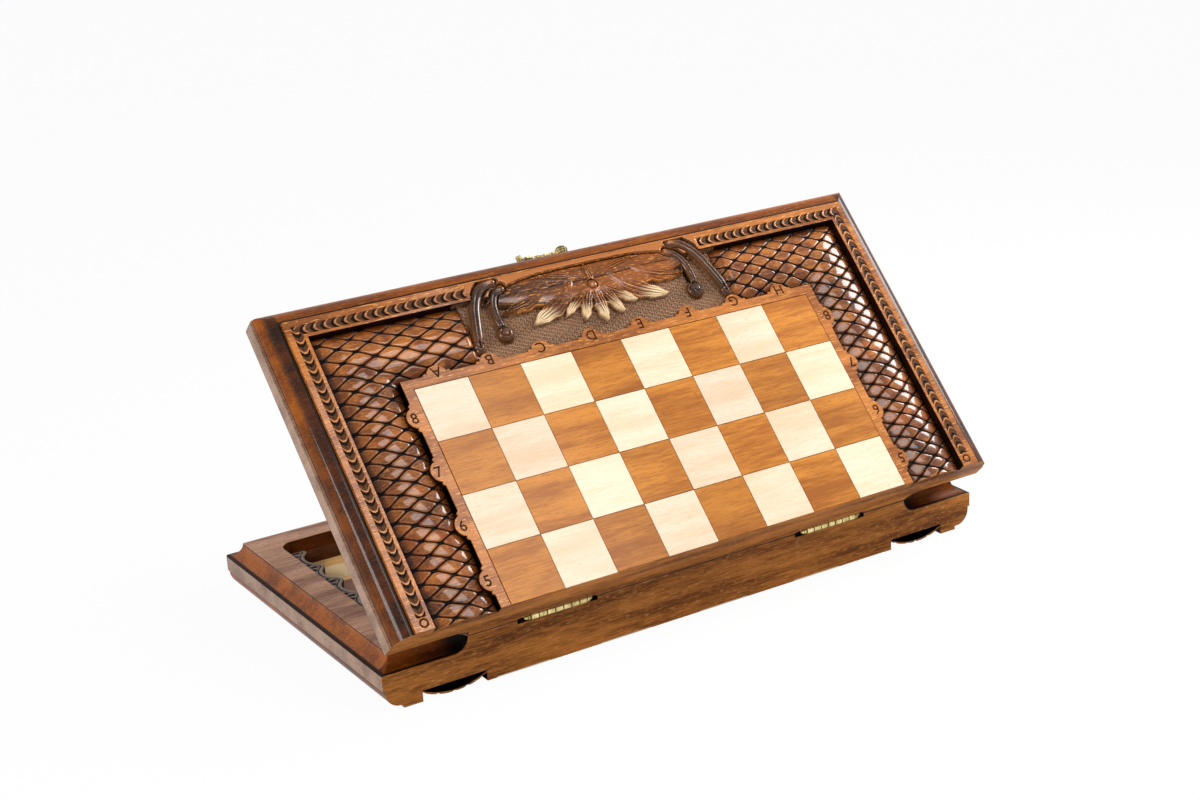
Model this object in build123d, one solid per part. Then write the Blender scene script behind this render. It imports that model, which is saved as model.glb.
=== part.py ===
from build123d import *
import math
import os

# Folding chess and backgammon board: two carved wooden halves hinged along one long edge.
# All sizes are in millimetres. The board rests on the outer face of its lower half, with the
# origin at the middle of that face: +X runs along the hinge, +Y from hinge to latch, +Z up.
# Each half is drawn in its own closed frame: x along the hinge, y from the hinge edge,
# z from the seam plane out to the carved outer face.

# Overall sizes of one half, the gap at the seam, and how far a cutter runs past what it cuts
BOARD_LENGTH = 500.0
HALF_DEPTH = 250.0
HALF_HEIGHT = 37.0
OPEN_ANGLE = 45.0
SEAM = 0.15
OVERRUN = 1.0

# Edge moulding, from the seam outwards: cove, flat face, ovolo and the fillet of the border
COVE_RADIUS = 10.5
COVE_RETURN_END = 64.5
OVOLO_RADIUS = 11.0
OVOLO_SETBACK = 1.6
OVOLO_SHOULDER = 2.0
BORDER_FILLET = 2.6
BORDER_INSET = 14.4
CORNER_RADIUS = 3.0

# Carved outer face
BORDER_WIDTH = 14.0
BAND_OFFSET = 8.0
BAND_WIDTH = 7.6
BAND_DEPTH = 1.6
CARVE_DEPTH = 7.4
NET_CROWN_DROP = 1.6
CREST_HALF_LENGTH = 97.0
CREST_BED_DEPTH = 3.2
CREST_BED_RIM = 1.0
CREST_GROUND_HALF_LENGTH = 112.0
TABLET_HALF_LENGTH = 74.0
TABLET_RISE = 17.0
TABLET_END_RISE = 6.6
SCROLL_WIDTH = 5.0
SCROLL_REACH = 30.0
SCROLL_TOP = 91.0
SCROLL_BEND = 98.5
SCROLL_TIP = 103.5
BALL_RADIUS = 5.4
BALL_PLACE = 81.0
BALL_RISE = 0.4
NECK_TOP = 81.0

# Chess field
SQUARE = 41.4
COLUMNS = 8
ROWS = 4
INLAY_LINE = 0.5
VENEER = 1.0
PLATE_MARGIN = 7.6
PLATE_DROP = 0.6
TAB_RADIUS = 8.1
TAB_INSET = 1.6

# Tray inside each half
RIM_WIDTH = 19.0
HINGE_WALL = 19.0
FLOOR_THICKNESS = 7.1
TRAY_CORNER = 11.0
FLOOR_VENEER = 0.8
WOOD_GAP = 0.2
POCKETS = 6
POCKET_MARGIN = 9.85
CUSP_WIDTH = 4.9
POCKET_DEPTH = 7.0
RAIL_WIDTH = 17.0
RAIL_DROP = 6.5
RAIL_END = 2.0
CUSP_ROUND = 1.5
POINT_LENGTH = 150.0
POINT_SPACING = 4.3
POINT_GAP = 0.15

# Brass butt hinges
HINGE_OFFSET = 116.0
KNUCKLES = 7
KNUCKLE_LENGTH = 6.4
KNUCKLE_GAP = 0.3
BARREL_RADIUS = 2.5
PIN_RADIUS = 0.8
PIN_FIT = 0.05
FINIAL_GAP = 0.2
FINIAL_RADIUS = 2.1
FINIAL_RING = 1.5
FINIAL_NECK = 0.6
FINIAL_NECK_RADIUS = 1.3
FINIAL_BULB = 2.1
FINIAL_BULB_RADIUS = 1.9
FINIAL_TIP_RADIUS = 0.7
LEAF_DEPTH = 15.0
LEAF_THICKNESS = 1.2
LEAF_SINK = 0.35
BARREL_PLAY = 0.5
NOTCH_ROOM = 5.0
SCREWS_PER_LEAF = 3
SCREW_PITCH = 15.0
SCREW_LINE = 9.5
SCREW_RADIUS = 1.2
SCREW_HEAD_RADIUS = 2.3
SCREW_LENGTH = 11.0
SCREW_FIT = 0.03
SLOT_WIDTH = 0.6
SLOT_DEPTH = 0.5

# Brass swing latch
LATCH_RISE = 4.5
LATCH_X = 1.0
PLATE_THICKNESS = 1.0
LATCH_PLATE_LENGTH = 26.0
LATCH_PLATE_WIDTH = 8.0
LATCH_SCREW_SPACING = 18.0
LATCH_SCREW_LENGTH = 8.0
WASHER_RADIUS = 4.0
WASHER_THICKNESS = 1.6
RIVET_RADIUS = 1.5
RIVET_FIT = 0.06
RIVET_HEAD_RADIUS = 5.0
RIVET_HEAD_RIM = 1.2
RIVET_DOME = 3.2
RIVET_DEPTH = 6.0
HOOK_THICKNESS = 1.4
HOOK_PLAY = 0.3
HOOK_WIDTH = 4.6
HOOK_EYE_RADIUS = 4.6
HOOK_END_RADIUS = 5.0
HOOK_BEAD_RADIUS = 3.1
HOOK_BEADS = 3
HOOK_TAB_RADIUS = 2.2
HOOK_TAB_PLAY = 0.4
HOOK_TAB_HEIGHT = 3.6
STUD_RADIUS = 1.5
STUD_SLOT_PLAY = 0.35
STUD_HEAD_RADIUS = 2.5
STUD_HEAD_HEIGHT = 1.5
CATCH_PLATE_LENGTH = 24.0

# Sizes that follow from the ones above
HALF_LENGTH = BOARD_LENGTH / 2
FIELD_HALF_LENGTH = COLUMNS * SQUARE / 2
FIELD_DEPTH = ROWS * SQUARE
PLATE_HALF_LENGTH = FIELD_HALF_LENGTH + PLATE_MARGIN
PLATE_DEPTH = FIELD_DEPTH + PLATE_MARGIN
RECESS_HALF_LENGTH = HALF_LENGTH - BORDER_INSET - BORDER_WIDTH
RECESS_DEPTH = HALF_DEPTH - BORDER_INSET - BORDER_WIDTH
RECESS_FLOOR = HALF_HEIGHT - CARVE_DEPTH
BAND_INSET = BORDER_INSET + BAND_OFFSET
TRAY_DEPTH = RECESS_FLOOR - FLOOR_THICKNESS
TRAY_HALF_LENGTH = HALF_LENGTH - COVE_RADIUS - RIM_WIDTH
TRAY_NEAR = HINGE_WALL
TRAY_FAR = HALF_DEPTH - COVE_RADIUS - RIM_WIDTH
TRAY_MIDDLE = (TRAY_NEAR + TRAY_FAR) / 2
FLOOR_TOP = TRAY_DEPTH - FLOOR_VENEER
POCKET_PITCH = (TRAY_FAR - TRAY_NEAR - 2 * POCKET_MARGIN) / POCKETS
POCKET_CHORD = POCKET_PITCH - CUSP_WIDTH
POCKET_RADIUS = (POCKET_CHORD**2 / 4 + POCKET_DEPTH**2) / (2 * POCKET_DEPTH)
POINT_WIDTH = POCKET_PITCH - POINT_SPACING
LEAF_LENGTH = KNUCKLES * KNUCKLE_LENGTH
FINIAL_LENGTH = FINIAL_RING + FINIAL_NECK + FINIAL_BULB
BARREL_NOTCH_RADIUS = BARREL_RADIUS + BARREL_PLAY
BARREL_NOTCH_LENGTH = LEAF_LENGTH + 2 * (FINIAL_GAP + FINIAL_LENGTH + NOTCH_ROOM)
LATCH_HEIGHT = COVE_RADIUS + LATCH_RISE
HOOK_BACK = HALF_DEPTH + PLATE_THICKNESS + WASHER_THICKNESS + HOOK_PLAY
HOOK_FRONT = HOOK_BACK + HOOK_THICKNESS
LATCH_REACH = 2 * LATCH_HEIGHT
TAB_REACH = LATCH_REACH + STUD_HEAD_RADIUS + HOOK_TAB_PLAY + HOOK_TAB_RADIUS


def seated_upper(shape):
    """The upper half stands open about the hinge line."""
    return Pos(0, -HALF_DEPTH / 2, HALF_HEIGHT) * Rot(OPEN_ANGLE, 0, 0) * shape


def seated_lower(shape):
    """The lower half lies on its outer face, a mirror image of the upper half when closed."""
    return Pos(0, -HALF_DEPTH / 2, HALF_HEIGHT) * mirror(shape, Plane.XY)


def write(name, shape):
    export_step(shape, os.path.join("parts", name + ".step"))


def group(solids):
    """Several separate solids kept as one sub-part."""
    return Compound(label="", children=[solid for part in solids for solid in part.solids()])


def block(x0, x1, y0, y1, z0, z1):
    """A box between two corners."""
    return Pos((x0 + x1) / 2, (y0 + y1) / 2, (z0 + z1) / 2) * Box(x1 - x0, y1 - y0, z1 - z0)


def plan_prism(points, z0, z1):
    """A straight-sided outline in plan, raised from z0 to z1."""
    return extrude(Plane.XY.offset(z0) * make_face(Polyline(points, close=True)), z1 - z0)


def rod(x, y, radius, z0, z1):
    """An upright cylinder."""
    return Pos(x, y, (z0 + z1) / 2) * Cylinder(radius, z1 - z0)


def rod_along_x(x0, x1, y, z, radius):
    """A cylinder along the hinge direction."""
    return Pos((x0 + x1) / 2, y, z) * Rot(0, 90, 0) * Cylinder(radius, x1 - x0)


def rod_along_y(x, y0, y1, z, radius):
    """A cylinder square to the latch face."""
    return Pos(x, (y0 + y1) / 2, z) * Rot(90, 0, 0) * Cylinder(radius, y1 - y0)


def moulded_edge(edge, inward):
    """Profile of a moulded side, from the seam plane to the border: face, shoulder, ovolo, fillet."""
    ovolo_foot = HALF_HEIGHT - BORDER_FILLET - OVOLO_RADIUS
    shoulder = ovolo_foot - OVOLO_SHOULDER
    face = edge
    setback = edge + inward * OVOLO_SETBACK
    crown = edge + inward * (OVOLO_SETBACK + OVOLO_RADIUS)
    fillet = edge + inward * BORDER_INSET
    bulge = OVOLO_RADIUS * (1 - math.sqrt(0.5))
    lines = [
        Line((face, SEAM), (face, shoulder)),
        Line((face, shoulder), (setback, shoulder)),
        Line((setback, shoulder), (setback, ovolo_foot)),
        ThreePointArc(
            (setback, ovolo_foot),
            (setback + inward * bulge, ovolo_foot + OVOLO_RADIUS - bulge),
            (crown, ovolo_foot + OVOLO_RADIUS),
        ),
        Line((crown, ovolo_foot + OVOLO_RADIUS), (fillet, ovolo_foot + OVOLO_RADIUS)),
        Line((fillet, ovolo_foot + OVOLO_RADIUS), (fillet, HALF_HEIGHT)),
    ]
    return lines, (face, SEAM), (fillet, HALF_HEIGHT)


def case_blank():
    """Solid panel with the moulding run round both ends and the latch side, mitred at the corners."""
    right, right_foot, right_top = moulded_edge(HALF_LENGTH, -1)
    left, left_foot, left_top = moulded_edge(-HALF_LENGTH, 1)
    ends = make_face(right + left + [Line(right_top, left_top), Line(left_foot, right_foot)])
    latch, latch_foot, latch_top = moulded_edge(HALF_DEPTH, -1)
    side = make_face(
        latch
        + [
            Line(latch_top, (SEAM, HALF_HEIGHT)),
            Line((SEAM, HALF_HEIGHT), (SEAM, SEAM)),
            Line((SEAM, SEAM), latch_foot),
        ]
    )
    along_y = extrude(Plane.XZ * ends, -HALF_DEPTH)
    along_x = extrude(Plane.YZ * side, HALF_LENGTH, both=True)
    rounded = block(-HALF_LENGTH, HALF_LENGTH, 0, HALF_DEPTH, 0, HALF_HEIGHT)
    corners = rounded.edges().filter_by(Axis.Z).sort_by(Axis.Y)[-2:]
    return along_y & along_x & fillet(corners, CORNER_RADIUS)


def finger_coves():
    """Concave cove along both ends and the latch side, with short returns on the hinge side."""
    end = HALF_LENGTH + OVERRUN
    cut = rod_along_x(-end, end, HALF_DEPTH, 0, COVE_RADIUS)
    for side in (-1, 1):
        cut += rod_along_y(side * HALF_LENGTH, -OVERRUN, HALF_DEPTH + OVERRUN, 0, COVE_RADIUS)
        stop = side * (HALF_LENGTH - COVE_RETURN_END + COVE_RADIUS)
        cut += rod_along_x(*sorted((stop, side * end)), 0, 0, COVE_RADIUS)
        cut += Pos(stop, 0, 0) * Sphere(COVE_RADIUS)
    return cut


def tray_outline(inset):
    """Plan of the tray opening, drawn in by the inset."""
    length = 2 * (TRAY_HALF_LENGTH - inset)
    depth = TRAY_FAR - TRAY_NEAR - 2 * inset
    return Pos(0, TRAY_MIDDLE) * RectangleRounded(length, depth, TRAY_CORNER - inset)


def chess_plate():
    """Raised plate under the chess field, with a tab on each file and rank for its coordinate."""
    low = RECESS_FLOOR - OVERRUN
    high = HALF_HEIGHT - PLATE_DROP
    plate = block(-PLATE_HALF_LENGTH, PLATE_HALF_LENGTH, SEAM, PLATE_DEPTH, low, high)
    for column in range(COLUMNS):
        x = (column + 0.5) * SQUARE - FIELD_HALF_LENGTH
        plate += rod(x, PLATE_DEPTH - TAB_INSET, TAB_RADIUS, low, high)
    for row in range(ROWS):
        y = (row + 0.5) * SQUARE
        for side in (-1, 1):
            plate += rod(side * (PLATE_HALF_LENGTH - TAB_INSET), y, TAB_RADIUS, low, high)
    return plate


def swell_section(inner, outer):
    """Section of the swelling net panel: an arc from wall to wall, crowned just below the border."""
    base = RECESS_FLOOR - OVERRUN
    middle = (inner + outer) / 2
    return make_face(
        [
            ThreePointArc(
                (inner, RECESS_FLOOR), (middle, HALF_HEIGHT - NET_CROWN_DROP), (outer, RECESS_FLOOR)
            ),
            Line((outer, RECESS_FLOOR), (outer, base)),
            Line((outer, base), (inner, base)),
            Line((inner, base), (inner, RECESS_FLOOR)),
        ]
    )


def net_swell():
    """Two end arms and two short arms along the latch side, mitred where they meet."""
    long_section = swell_section(PLATE_HALF_LENGTH, RECESS_HALF_LENGTH)
    long_arm = extrude(Plane.XZ * long_section, -RECESS_DEPTH)
    long_arm &= plan_prism(
        [
            (PLATE_HALF_LENGTH, SEAM),
            (RECESS_HALF_LENGTH, SEAM),
            (RECESS_HALF_LENGTH, RECESS_DEPTH),
            (PLATE_HALF_LENGTH, PLATE_DEPTH),
        ],
        RECESS_FLOOR - OVERRUN,
        HALF_HEIGHT,
    )
    short_section = swell_section(PLATE_DEPTH, RECESS_DEPTH)
    short_arm = extrude(Plane.YZ * short_section, RECESS_HALF_LENGTH)
    short_arm &= plan_prism(
        [
            (CREST_GROUND_HALF_LENGTH, PLATE_DEPTH),
            (PLATE_HALF_LENGTH, PLATE_DEPTH),
            (RECESS_HALF_LENGTH, RECESS_DEPTH),
            (CREST_GROUND_HALF_LENGTH, RECESS_DEPTH),
        ],
        RECESS_FLOOR - OVERRUN,
        HALF_HEIGHT,
    )
    arms = long_arm + short_arm
    return [arms, mirror(arms, Plane.YZ)]


def crest():
    """Core of the carved crest at the latch side: a tablet between two pairs of scrolls."""
    low = RECESS_FLOOR - OVERRUN
    high = HALF_HEIGHT - CREST_BED_DEPTH
    top = RECESS_DEPTH + OVERRUN
    lower = RECESS_DEPTH - TABLET_RISE
    shoulder = RECESS_DEPTH - TABLET_END_RISE
    tablet = make_face(
        [
            Line((-TABLET_HALF_LENGTH, top), (TABLET_HALF_LENGTH, top)),
            Line((TABLET_HALF_LENGTH, top), (TABLET_HALF_LENGTH, shoulder)),
            ThreePointArc(
                (TABLET_HALF_LENGTH, shoulder), (0, lower), (-TABLET_HALF_LENGTH, shoulder)
            ),
            Line((-TABLET_HALF_LENGTH, shoulder), (-TABLET_HALF_LENGTH, top)),
        ]
    )
    body = extrude(Plane.XY.offset(low) * tablet, high - low)
    foot = RECESS_DEPTH - SCROLL_REACH
    for side in (-1, 1):
        strand = ThreePointArc(
            (side * SCROLL_TOP, top),
            (side * SCROLL_BEND, (top + foot) / 2),
            (side * SCROLL_TIP, foot),
        )
        body += extrude(Plane.XY.offset(low) * trace(strand, SCROLL_WIDTH), high - low)
        body += rod(side * BALL_PLACE, foot + BALL_RISE, BALL_RADIUS, low, high)
        neck = Line((side * BALL_PLACE, foot + BALL_RISE), (side * NECK_TOP, top))
        body += extrude(Plane.XY.offset(low) * trace(neck, SCROLL_WIDTH), high - low)
    return body


def band_channel():
    """Shallow channel for the leaf band, round both ends and along the latch side to the crest."""
    low = HALF_HEIGHT - BAND_DEPTH
    high = HALF_HEIGHT + OVERRUN
    outer = HALF_LENGTH - BAND_INSET + BAND_WIDTH / 2
    inner = outer - BAND_WIDTH
    far = HALF_DEPTH - BAND_INSET + BAND_WIDTH / 2
    near = far - BAND_WIDTH
    cuts = []
    for side in (-1, 1):
        xs = sorted((side * inner, side * outer))
        cuts.append(block(*xs, -OVERRUN, far, low, high))
        xs = sorted((side * (CREST_HALF_LENGTH - OVERRUN), side * outer))
        cuts.append(block(*xs, near, far, low, high))
    return cuts


def screw_xs():
    """Places of the screws along one hinge leaf, from its middle."""
    return [(i - (SCREWS_PER_LEAF - 1) / 2) * SCREW_PITCH for i in range(SCREWS_PER_LEAF)]


def latch_screw_xs():
    return [LATCH_X - LATCH_SCREW_SPACING / 2, LATCH_X + LATCH_SCREW_SPACING / 2]


def hinge_cuts():
    """Barrel notches, leaf mortises and screw holes of both hinges."""
    cuts = []
    for side in (-1, 1):
        x = side * HINGE_OFFSET
        half = BARREL_NOTCH_LENGTH / 2
        cuts.append(rod_along_x(x - half, x + half, 0, 0, BARREL_NOTCH_RADIUS))
        half = LEAF_LENGTH / 2 + WOOD_GAP
        bottom = LEAF_SINK + LEAF_THICKNESS
        cuts.append(
            block(x - half, x + half, -OVERRUN, LEAF_DEPTH + WOOD_GAP, -OVERRUN, bottom)
        )
        for dx in screw_xs():
            hole = rod(x + dx, SCREW_LINE, SCREW_RADIUS + SCREW_FIT, 0, LEAF_SINK + SCREW_LENGTH)
            cuts.append(hole)
    return cuts


def latch_screw_holes(xs):
    back = HALF_DEPTH - LATCH_SCREW_LENGTH
    front = HALF_DEPTH + OVERRUN
    return [rod_along_y(x, back, front, LATCH_HEIGHT, SCREW_RADIUS + SCREW_FIT) for x in xs]


def case():
    """One half's body: routed tray on the inside, moulded edges, carved outer face."""
    body = case_blank() - finger_coves()
    body -= extrude(tray_outline(0), TRAY_DEPTH)
    above = HALF_HEIGHT + OVERRUN
    body -= block(
        -RECESS_HALF_LENGTH, RECESS_HALF_LENGTH, -OVERRUN, RECESS_DEPTH, RECESS_FLOOR, above
    )
    bed_far = HALF_DEPTH - BORDER_INSET - CREST_BED_RIM
    bed_floor = HALF_HEIGHT - CREST_BED_DEPTH
    body -= block(
        -CREST_HALF_LENGTH, CREST_HALF_LENGTH, RECESS_DEPTH - OVERRUN, bed_far, bed_floor, above
    )
    body += crest() & block(
        -HALF_LENGTH, HALF_LENGTH, 0, RECESS_DEPTH + OVERRUN, RECESS_FLOOR - OVERRUN, HALF_HEIGHT
    )
    body += net_swell()
    body += chess_plate()
    edge = INLAY_LINE / 2
    half = FIELD_HALF_LENGTH + edge
    body -= block(-half, half, -OVERRUN, FIELD_DEPTH + edge, HALF_HEIGHT - VENEER, above)
    for cut in band_channel() + hinge_cuts() + latch_screw_holes(latch_screw_xs()):
        body -= cut
    deep = HALF_DEPTH - RIVET_DEPTH
    front = HALF_DEPTH + OVERRUN
    return body - rod_along_y(LATCH_X, deep, front, LATCH_HEIGHT, RIVET_RADIUS + SCREW_FIT)


def squares(dark, upper):
    """The light or the dark veneers of one half, just short of the hinge face. Square A1 is dark."""
    half_side = (SQUARE - INLAY_LINE) / 2
    found = []
    for column in range(COLUMNS):
        for row in range(ROWS):
            rank = ROWS + 1 + row if upper else ROWS - row
            if ((column + 1 + rank) % 2 == 0) != dark:
                continue
            x = (column + 0.5) * SQUARE - FIELD_HALF_LENGTH
            y = (row + 0.5) * SQUARE
            near = max(y - half_side, SEAM + INLAY_LINE / 2)
            far = y + half_side
            low = HALF_HEIGHT - VENEER
            found.append(block(x - half_side, x + half_side, near, far, low, HALF_HEIGHT))
    return group(found)


def point_prism(side, index, spread):
    """One backgammon point, from its base at the rail to its tip towards the middle of the tray."""
    base = TRAY_HALF_LENGTH - RAIL_WIDTH + spread
    tip = TRAY_HALF_LENGTH - RAIL_WIDTH - POINT_LENGTH - spread
    y = TRAY_MIDDLE + (index - (POCKETS - 1) / 2) * POCKET_PITCH
    half = POINT_WIDTH / 2 + spread
    blunt = POINT_GAP + spread
    outline = [
        (side * base, y - half),
        (side * base, y + half),
        (side * tip, y + blunt),
        (side * tip, y - blunt),
    ]
    return plan_prism(outline, FLOOR_TOP, TRAY_DEPTH)


def points(dark):
    """Light or dark inlaid points of one half, alternating along each rail."""
    found = []
    for side in (-1, 1):
        for index in range(POCKETS):
            if ((index + (side > 0)) % 2 == 0) == dark:
                found.append(point_prism(side, index, 0))
    return group(found)


def tray_veneer():
    """Veneered floor of the tray, cut out for the inlaid points."""
    sheet = extrude(Plane.XY.offset(FLOOR_TOP) * tray_outline(WOOD_GAP), FLOOR_VENEER)
    for side in (-1, 1):
        for index in range(POCKETS):
            sheet -= point_prism(side, index, POINT_GAP)
    return sheet


def rail(side):
    """Scalloped rail at one end of a tray: half-round pockets hold a column of checkers each."""
    wall = side * TRAY_HALF_LENGTH
    lip = side * (TRAY_HALF_LENGTH - RAIL_WIDTH)
    half = POCKETS * POCKET_PITCH / 2 + RAIL_END
    ends = (TRAY_MIDDLE - half, TRAY_MIDDLE + half)
    body = block(*sorted((wall, lip)), *ends, RAIL_DROP, FLOOR_TOP)
    centre = lip + side * (POCKET_DEPTH - POCKET_RADIUS)
    for index in range(POCKETS):
        y = TRAY_MIDDLE + (index - (POCKETS - 1) / 2) * POCKET_PITCH
        body -= rod(centre, y, POCKET_RADIUS, RAIL_DROP - OVERRUN, FLOOR_TOP + OVERRUN)
    cusps = [e for e in body.edges().filter_by(Axis.Z) if abs(e.center().X - lip) < 0.01]
    body = fillet(cusps, CUSP_ROUND)
    return body & extrude(tray_outline(WOOD_GAP), FLOOR_TOP)


def knuckle_span(index):
    """Start and end of one knuckle along the barrel, from the hinge's middle."""
    start = -LEAF_LENGTH / 2 + index * KNUCKLE_LENGTH
    return start + KNUCKLE_GAP / 2, start + KNUCKLE_LENGTH - KNUCKLE_GAP / 2


def hinge_leaf(x, parity):
    """A brass leaf let into the rim, with every other knuckle of the barrel rolled on its edge."""
    half = LEAF_LENGTH / 2 - KNUCKLE_GAP / 2
    top = LEAF_SINK + LEAF_THICKNESS
    leaf = block(x - half, x + half, BARREL_NOTCH_RADIUS, LEAF_DEPTH, LEAF_SINK, top)
    for index in range(KNUCKLES):
        if index % 2 != parity:
            continue
        low, high = knuckle_span(index)
        leaf += block(x + low, x + high, 0, BARREL_NOTCH_RADIUS + OVERRUN, LEAF_SINK, top)
        leaf += rod_along_x(x + low, x + high, 0, 0, BARREL_RADIUS)
    for index in range(KNUCKLES):
        if index % 2 == parity:
            low, high = knuckle_span(index)
            bore = (x + low - OVERRUN, x + high + OVERRUN)
            leaf -= rod_along_x(*bore, 0, 0, PIN_RADIUS + PIN_FIT)
    for dx in screw_xs():
        leaf -= screw_solid(x + dx, SCREW_LINE, LEAF_SINK, SCREW_FIT)
    return leaf


def screw_solid(x, y, z, spread):
    """A countersunk wood screw pointing along +z, its head flush at z. Spread makes its hole."""
    radius = SCREW_RADIUS + spread
    head = SCREW_HEAD_RADIUS + spread
    cone = head - radius
    shank = rod(x, y, radius, z, z + SCREW_LENGTH)
    return shank + Pos(x, y, z + cone / 2) * Cone(head, radius, cone)


def driven_screw(x, y, z):
    """The screw itself, with a slot across its head."""
    xs = (x - SCREW_HEAD_RADIUS, x + SCREW_HEAD_RADIUS)
    ys = (y - SLOT_WIDTH / 2, y + SLOT_WIDTH / 2)
    return screw_solid(x, y, z, 0) - block(*xs, *ys, z - OVERRUN, z + SLOT_DEPTH)


def hinge_screws():
    found = []
    for side in (-1, 1):
        for dx in screw_xs():
            found.append(driven_screw(side * HINGE_OFFSET + dx, SCREW_LINE, LEAF_SINK))
    return group(found)


def hinge_pin(x):
    """Hinge pin with a ring, a neck and a tapered bulb turned on each end."""
    start = LEAF_LENGTH / 2 + FINIAL_GAP
    ring_end = start + FINIAL_RING
    neck_end = ring_end + FINIAL_NECK
    body = rod_along_x(x - neck_end, x + neck_end, 0, 0, PIN_RADIUS)
    for side in (-1, 1):
        ring = sorted((x + side * start, x + side * ring_end))
        neck = sorted((x + side * ring_end, x + side * neck_end))
        body += rod_along_x(*ring, 0, 0, FINIAL_RADIUS)
        body += rod_along_x(*neck, 0, 0, FINIAL_NECK_RADIUS)
        bulb = Cone(FINIAL_BULB_RADIUS, FINIAL_TIP_RADIUS, FINIAL_BULB)
        body += Pos(x + side * (neck_end + FINIAL_BULB / 2), 0, 0) * Rot(0, side * 90, 0) * bulb
    return body


def face_plate(length, hole):
    """Small brass plate with rounded ends on the latch face, pierced for its screws and rivet."""
    outline = Pos(LATCH_X, LATCH_HEIGHT) * SlotOverall(length, LATCH_PLATE_WIDTH)
    plate = extrude(Plane.XZ.offset(-HALF_DEPTH) * outline, -PLATE_THICKNESS)
    front = HALF_DEPTH + PLATE_THICKNESS + OVERRUN
    plate -= rod_along_y(LATCH_X, HALF_DEPTH - OVERRUN, front, LATCH_HEIGHT, hole)
    for x in latch_screw_xs():
        plate -= latch_screw(x, SCREW_FIT)
    return plate


def latch_screw(x, spread):
    """A countersunk screw driven into the latch face."""
    radius = SCREW_RADIUS + spread
    head = SCREW_HEAD_RADIUS + spread
    cone = min(head - radius, PLATE_THICKNESS)
    front = HALF_DEPTH + PLATE_THICKNESS
    shank = rod_along_y(x, HALF_DEPTH - LATCH_SCREW_LENGTH, front, LATCH_HEIGHT, radius)
    taper = Rot(90, 0, 0) * Cone(head, head - cone, cone)
    return shank + Pos(x, front - cone / 2, LATCH_HEIGHT) * taper


def latch_screws():
    found = []
    front = HALF_DEPTH + PLATE_THICKNESS
    for x in latch_screw_xs():
        xs = (x - SCREW_HEAD_RADIUS, x + SCREW_HEAD_RADIUS)
        zs = (LATCH_HEIGHT - SLOT_WIDTH / 2, LATCH_HEIGHT + SLOT_WIDTH / 2)
        found.append(latch_screw(x, 0) - block(*xs, front - SLOT_DEPTH, front + OVERRUN, *zs))
    return group(found)


def latch_washer():
    """Spacer that stands the hook off the plate, so that it swings clear of the screw heads."""
    low = HALF_DEPTH + PLATE_THICKNESS
    high = low + WASHER_THICKNESS
    ring = rod_along_y(LATCH_X, low, high, LATCH_HEIGHT, WASHER_RADIUS)
    hole = (low - OVERRUN, high + OVERRUN)
    return ring - rod_along_y(LATCH_X, *hole, LATCH_HEIGHT, RIVET_RADIUS + SCREW_FIT)


def latch_rivet():
    """Domed rivet that the hook turns on."""
    low = HALF_DEPTH - RIVET_DEPTH
    head = HOOK_FRONT + HOOK_PLAY
    rim = head + RIVET_HEAD_RIM
    top = rim + RIVET_DOME
    body = rod_along_y(LATCH_X, low, rim, LATCH_HEIGHT, RIVET_RADIUS)
    body += rod_along_y(LATCH_X, head, rim, LATCH_HEIGHT, RIVET_HEAD_RADIUS)
    ball = (RIVET_HEAD_RADIUS**2 + RIVET_DOME**2) / (2 * RIVET_DOME)
    dome = Pos(LATCH_X, top - ball, LATCH_HEIGHT) * Sphere(ball)
    return body + (dome & rod_along_y(LATCH_X, rim, top, LATCH_HEIGHT, RIVET_HEAD_RADIUS))


def latch_hook():
    """Swing hook parked along -x. Its slot is an arc about the rivet, open towards the seam."""
    eye = Pos(LATCH_X, LATCH_HEIGHT) * Circle(HOOK_EYE_RADIUS)
    arm = Pos(LATCH_X - LATCH_REACH / 2, LATCH_HEIGHT) * Rectangle(LATCH_REACH, HOOK_WIDTH)
    end = Pos(LATCH_X - LATCH_REACH, LATCH_HEIGHT) * Circle(HOOK_END_RADIUS)
    tab_x = LATCH_X - TAB_REACH
    outline = eye + arm + end + Pos(tab_x, LATCH_HEIGHT) * Circle(HOOK_TAB_RADIUS)
    for index in range(HOOK_BEADS):
        step = (LATCH_REACH - HOOK_EYE_RADIUS - HOOK_END_RADIUS) / HOOK_BEADS
        x = LATCH_X - HOOK_EYE_RADIUS - (index + 0.5) * step
        outline += Pos(x, LATCH_HEIGHT) * Circle(HOOK_BEAD_RADIUS)
    body = extrude(Plane.XZ.offset(-HOOK_BACK) * outline, -HOOK_THICKNESS)
    slot = STUD_RADIUS + STUD_SLOT_PLAY
    through = (HOOK_BACK - OVERRUN, HOOK_FRONT + OVERRUN)
    ring = rod_along_y(LATCH_X, *through, LATCH_HEIGHT, LATCH_REACH + slot)
    ring -= rod_along_y(LATCH_X, *through, LATCH_HEIGHT, LATCH_REACH - slot)
    mouth = LATCH_HEIGHT - HOOK_END_RADIUS - OVERRUN
    slot_place = LATCH_X - LATCH_REACH
    xs = (slot_place - 2 * slot, slot_place + 2 * slot)
    body -= ring & block(*xs, *through, mouth, LATCH_HEIGHT)
    body -= rod_along_y(slot_place, *through, LATCH_HEIGHT, slot)
    body -= rod_along_y(LATCH_X, *through, LATCH_HEIGHT, RIVET_RADIUS + RIVET_FIT)
    tab = rod_along_y(tab_x, HOOK_BACK, HOOK_FRONT + HOOK_TAB_HEIGHT, LATCH_HEIGHT, HOOK_TAB_RADIUS)
    return body + tab


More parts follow.
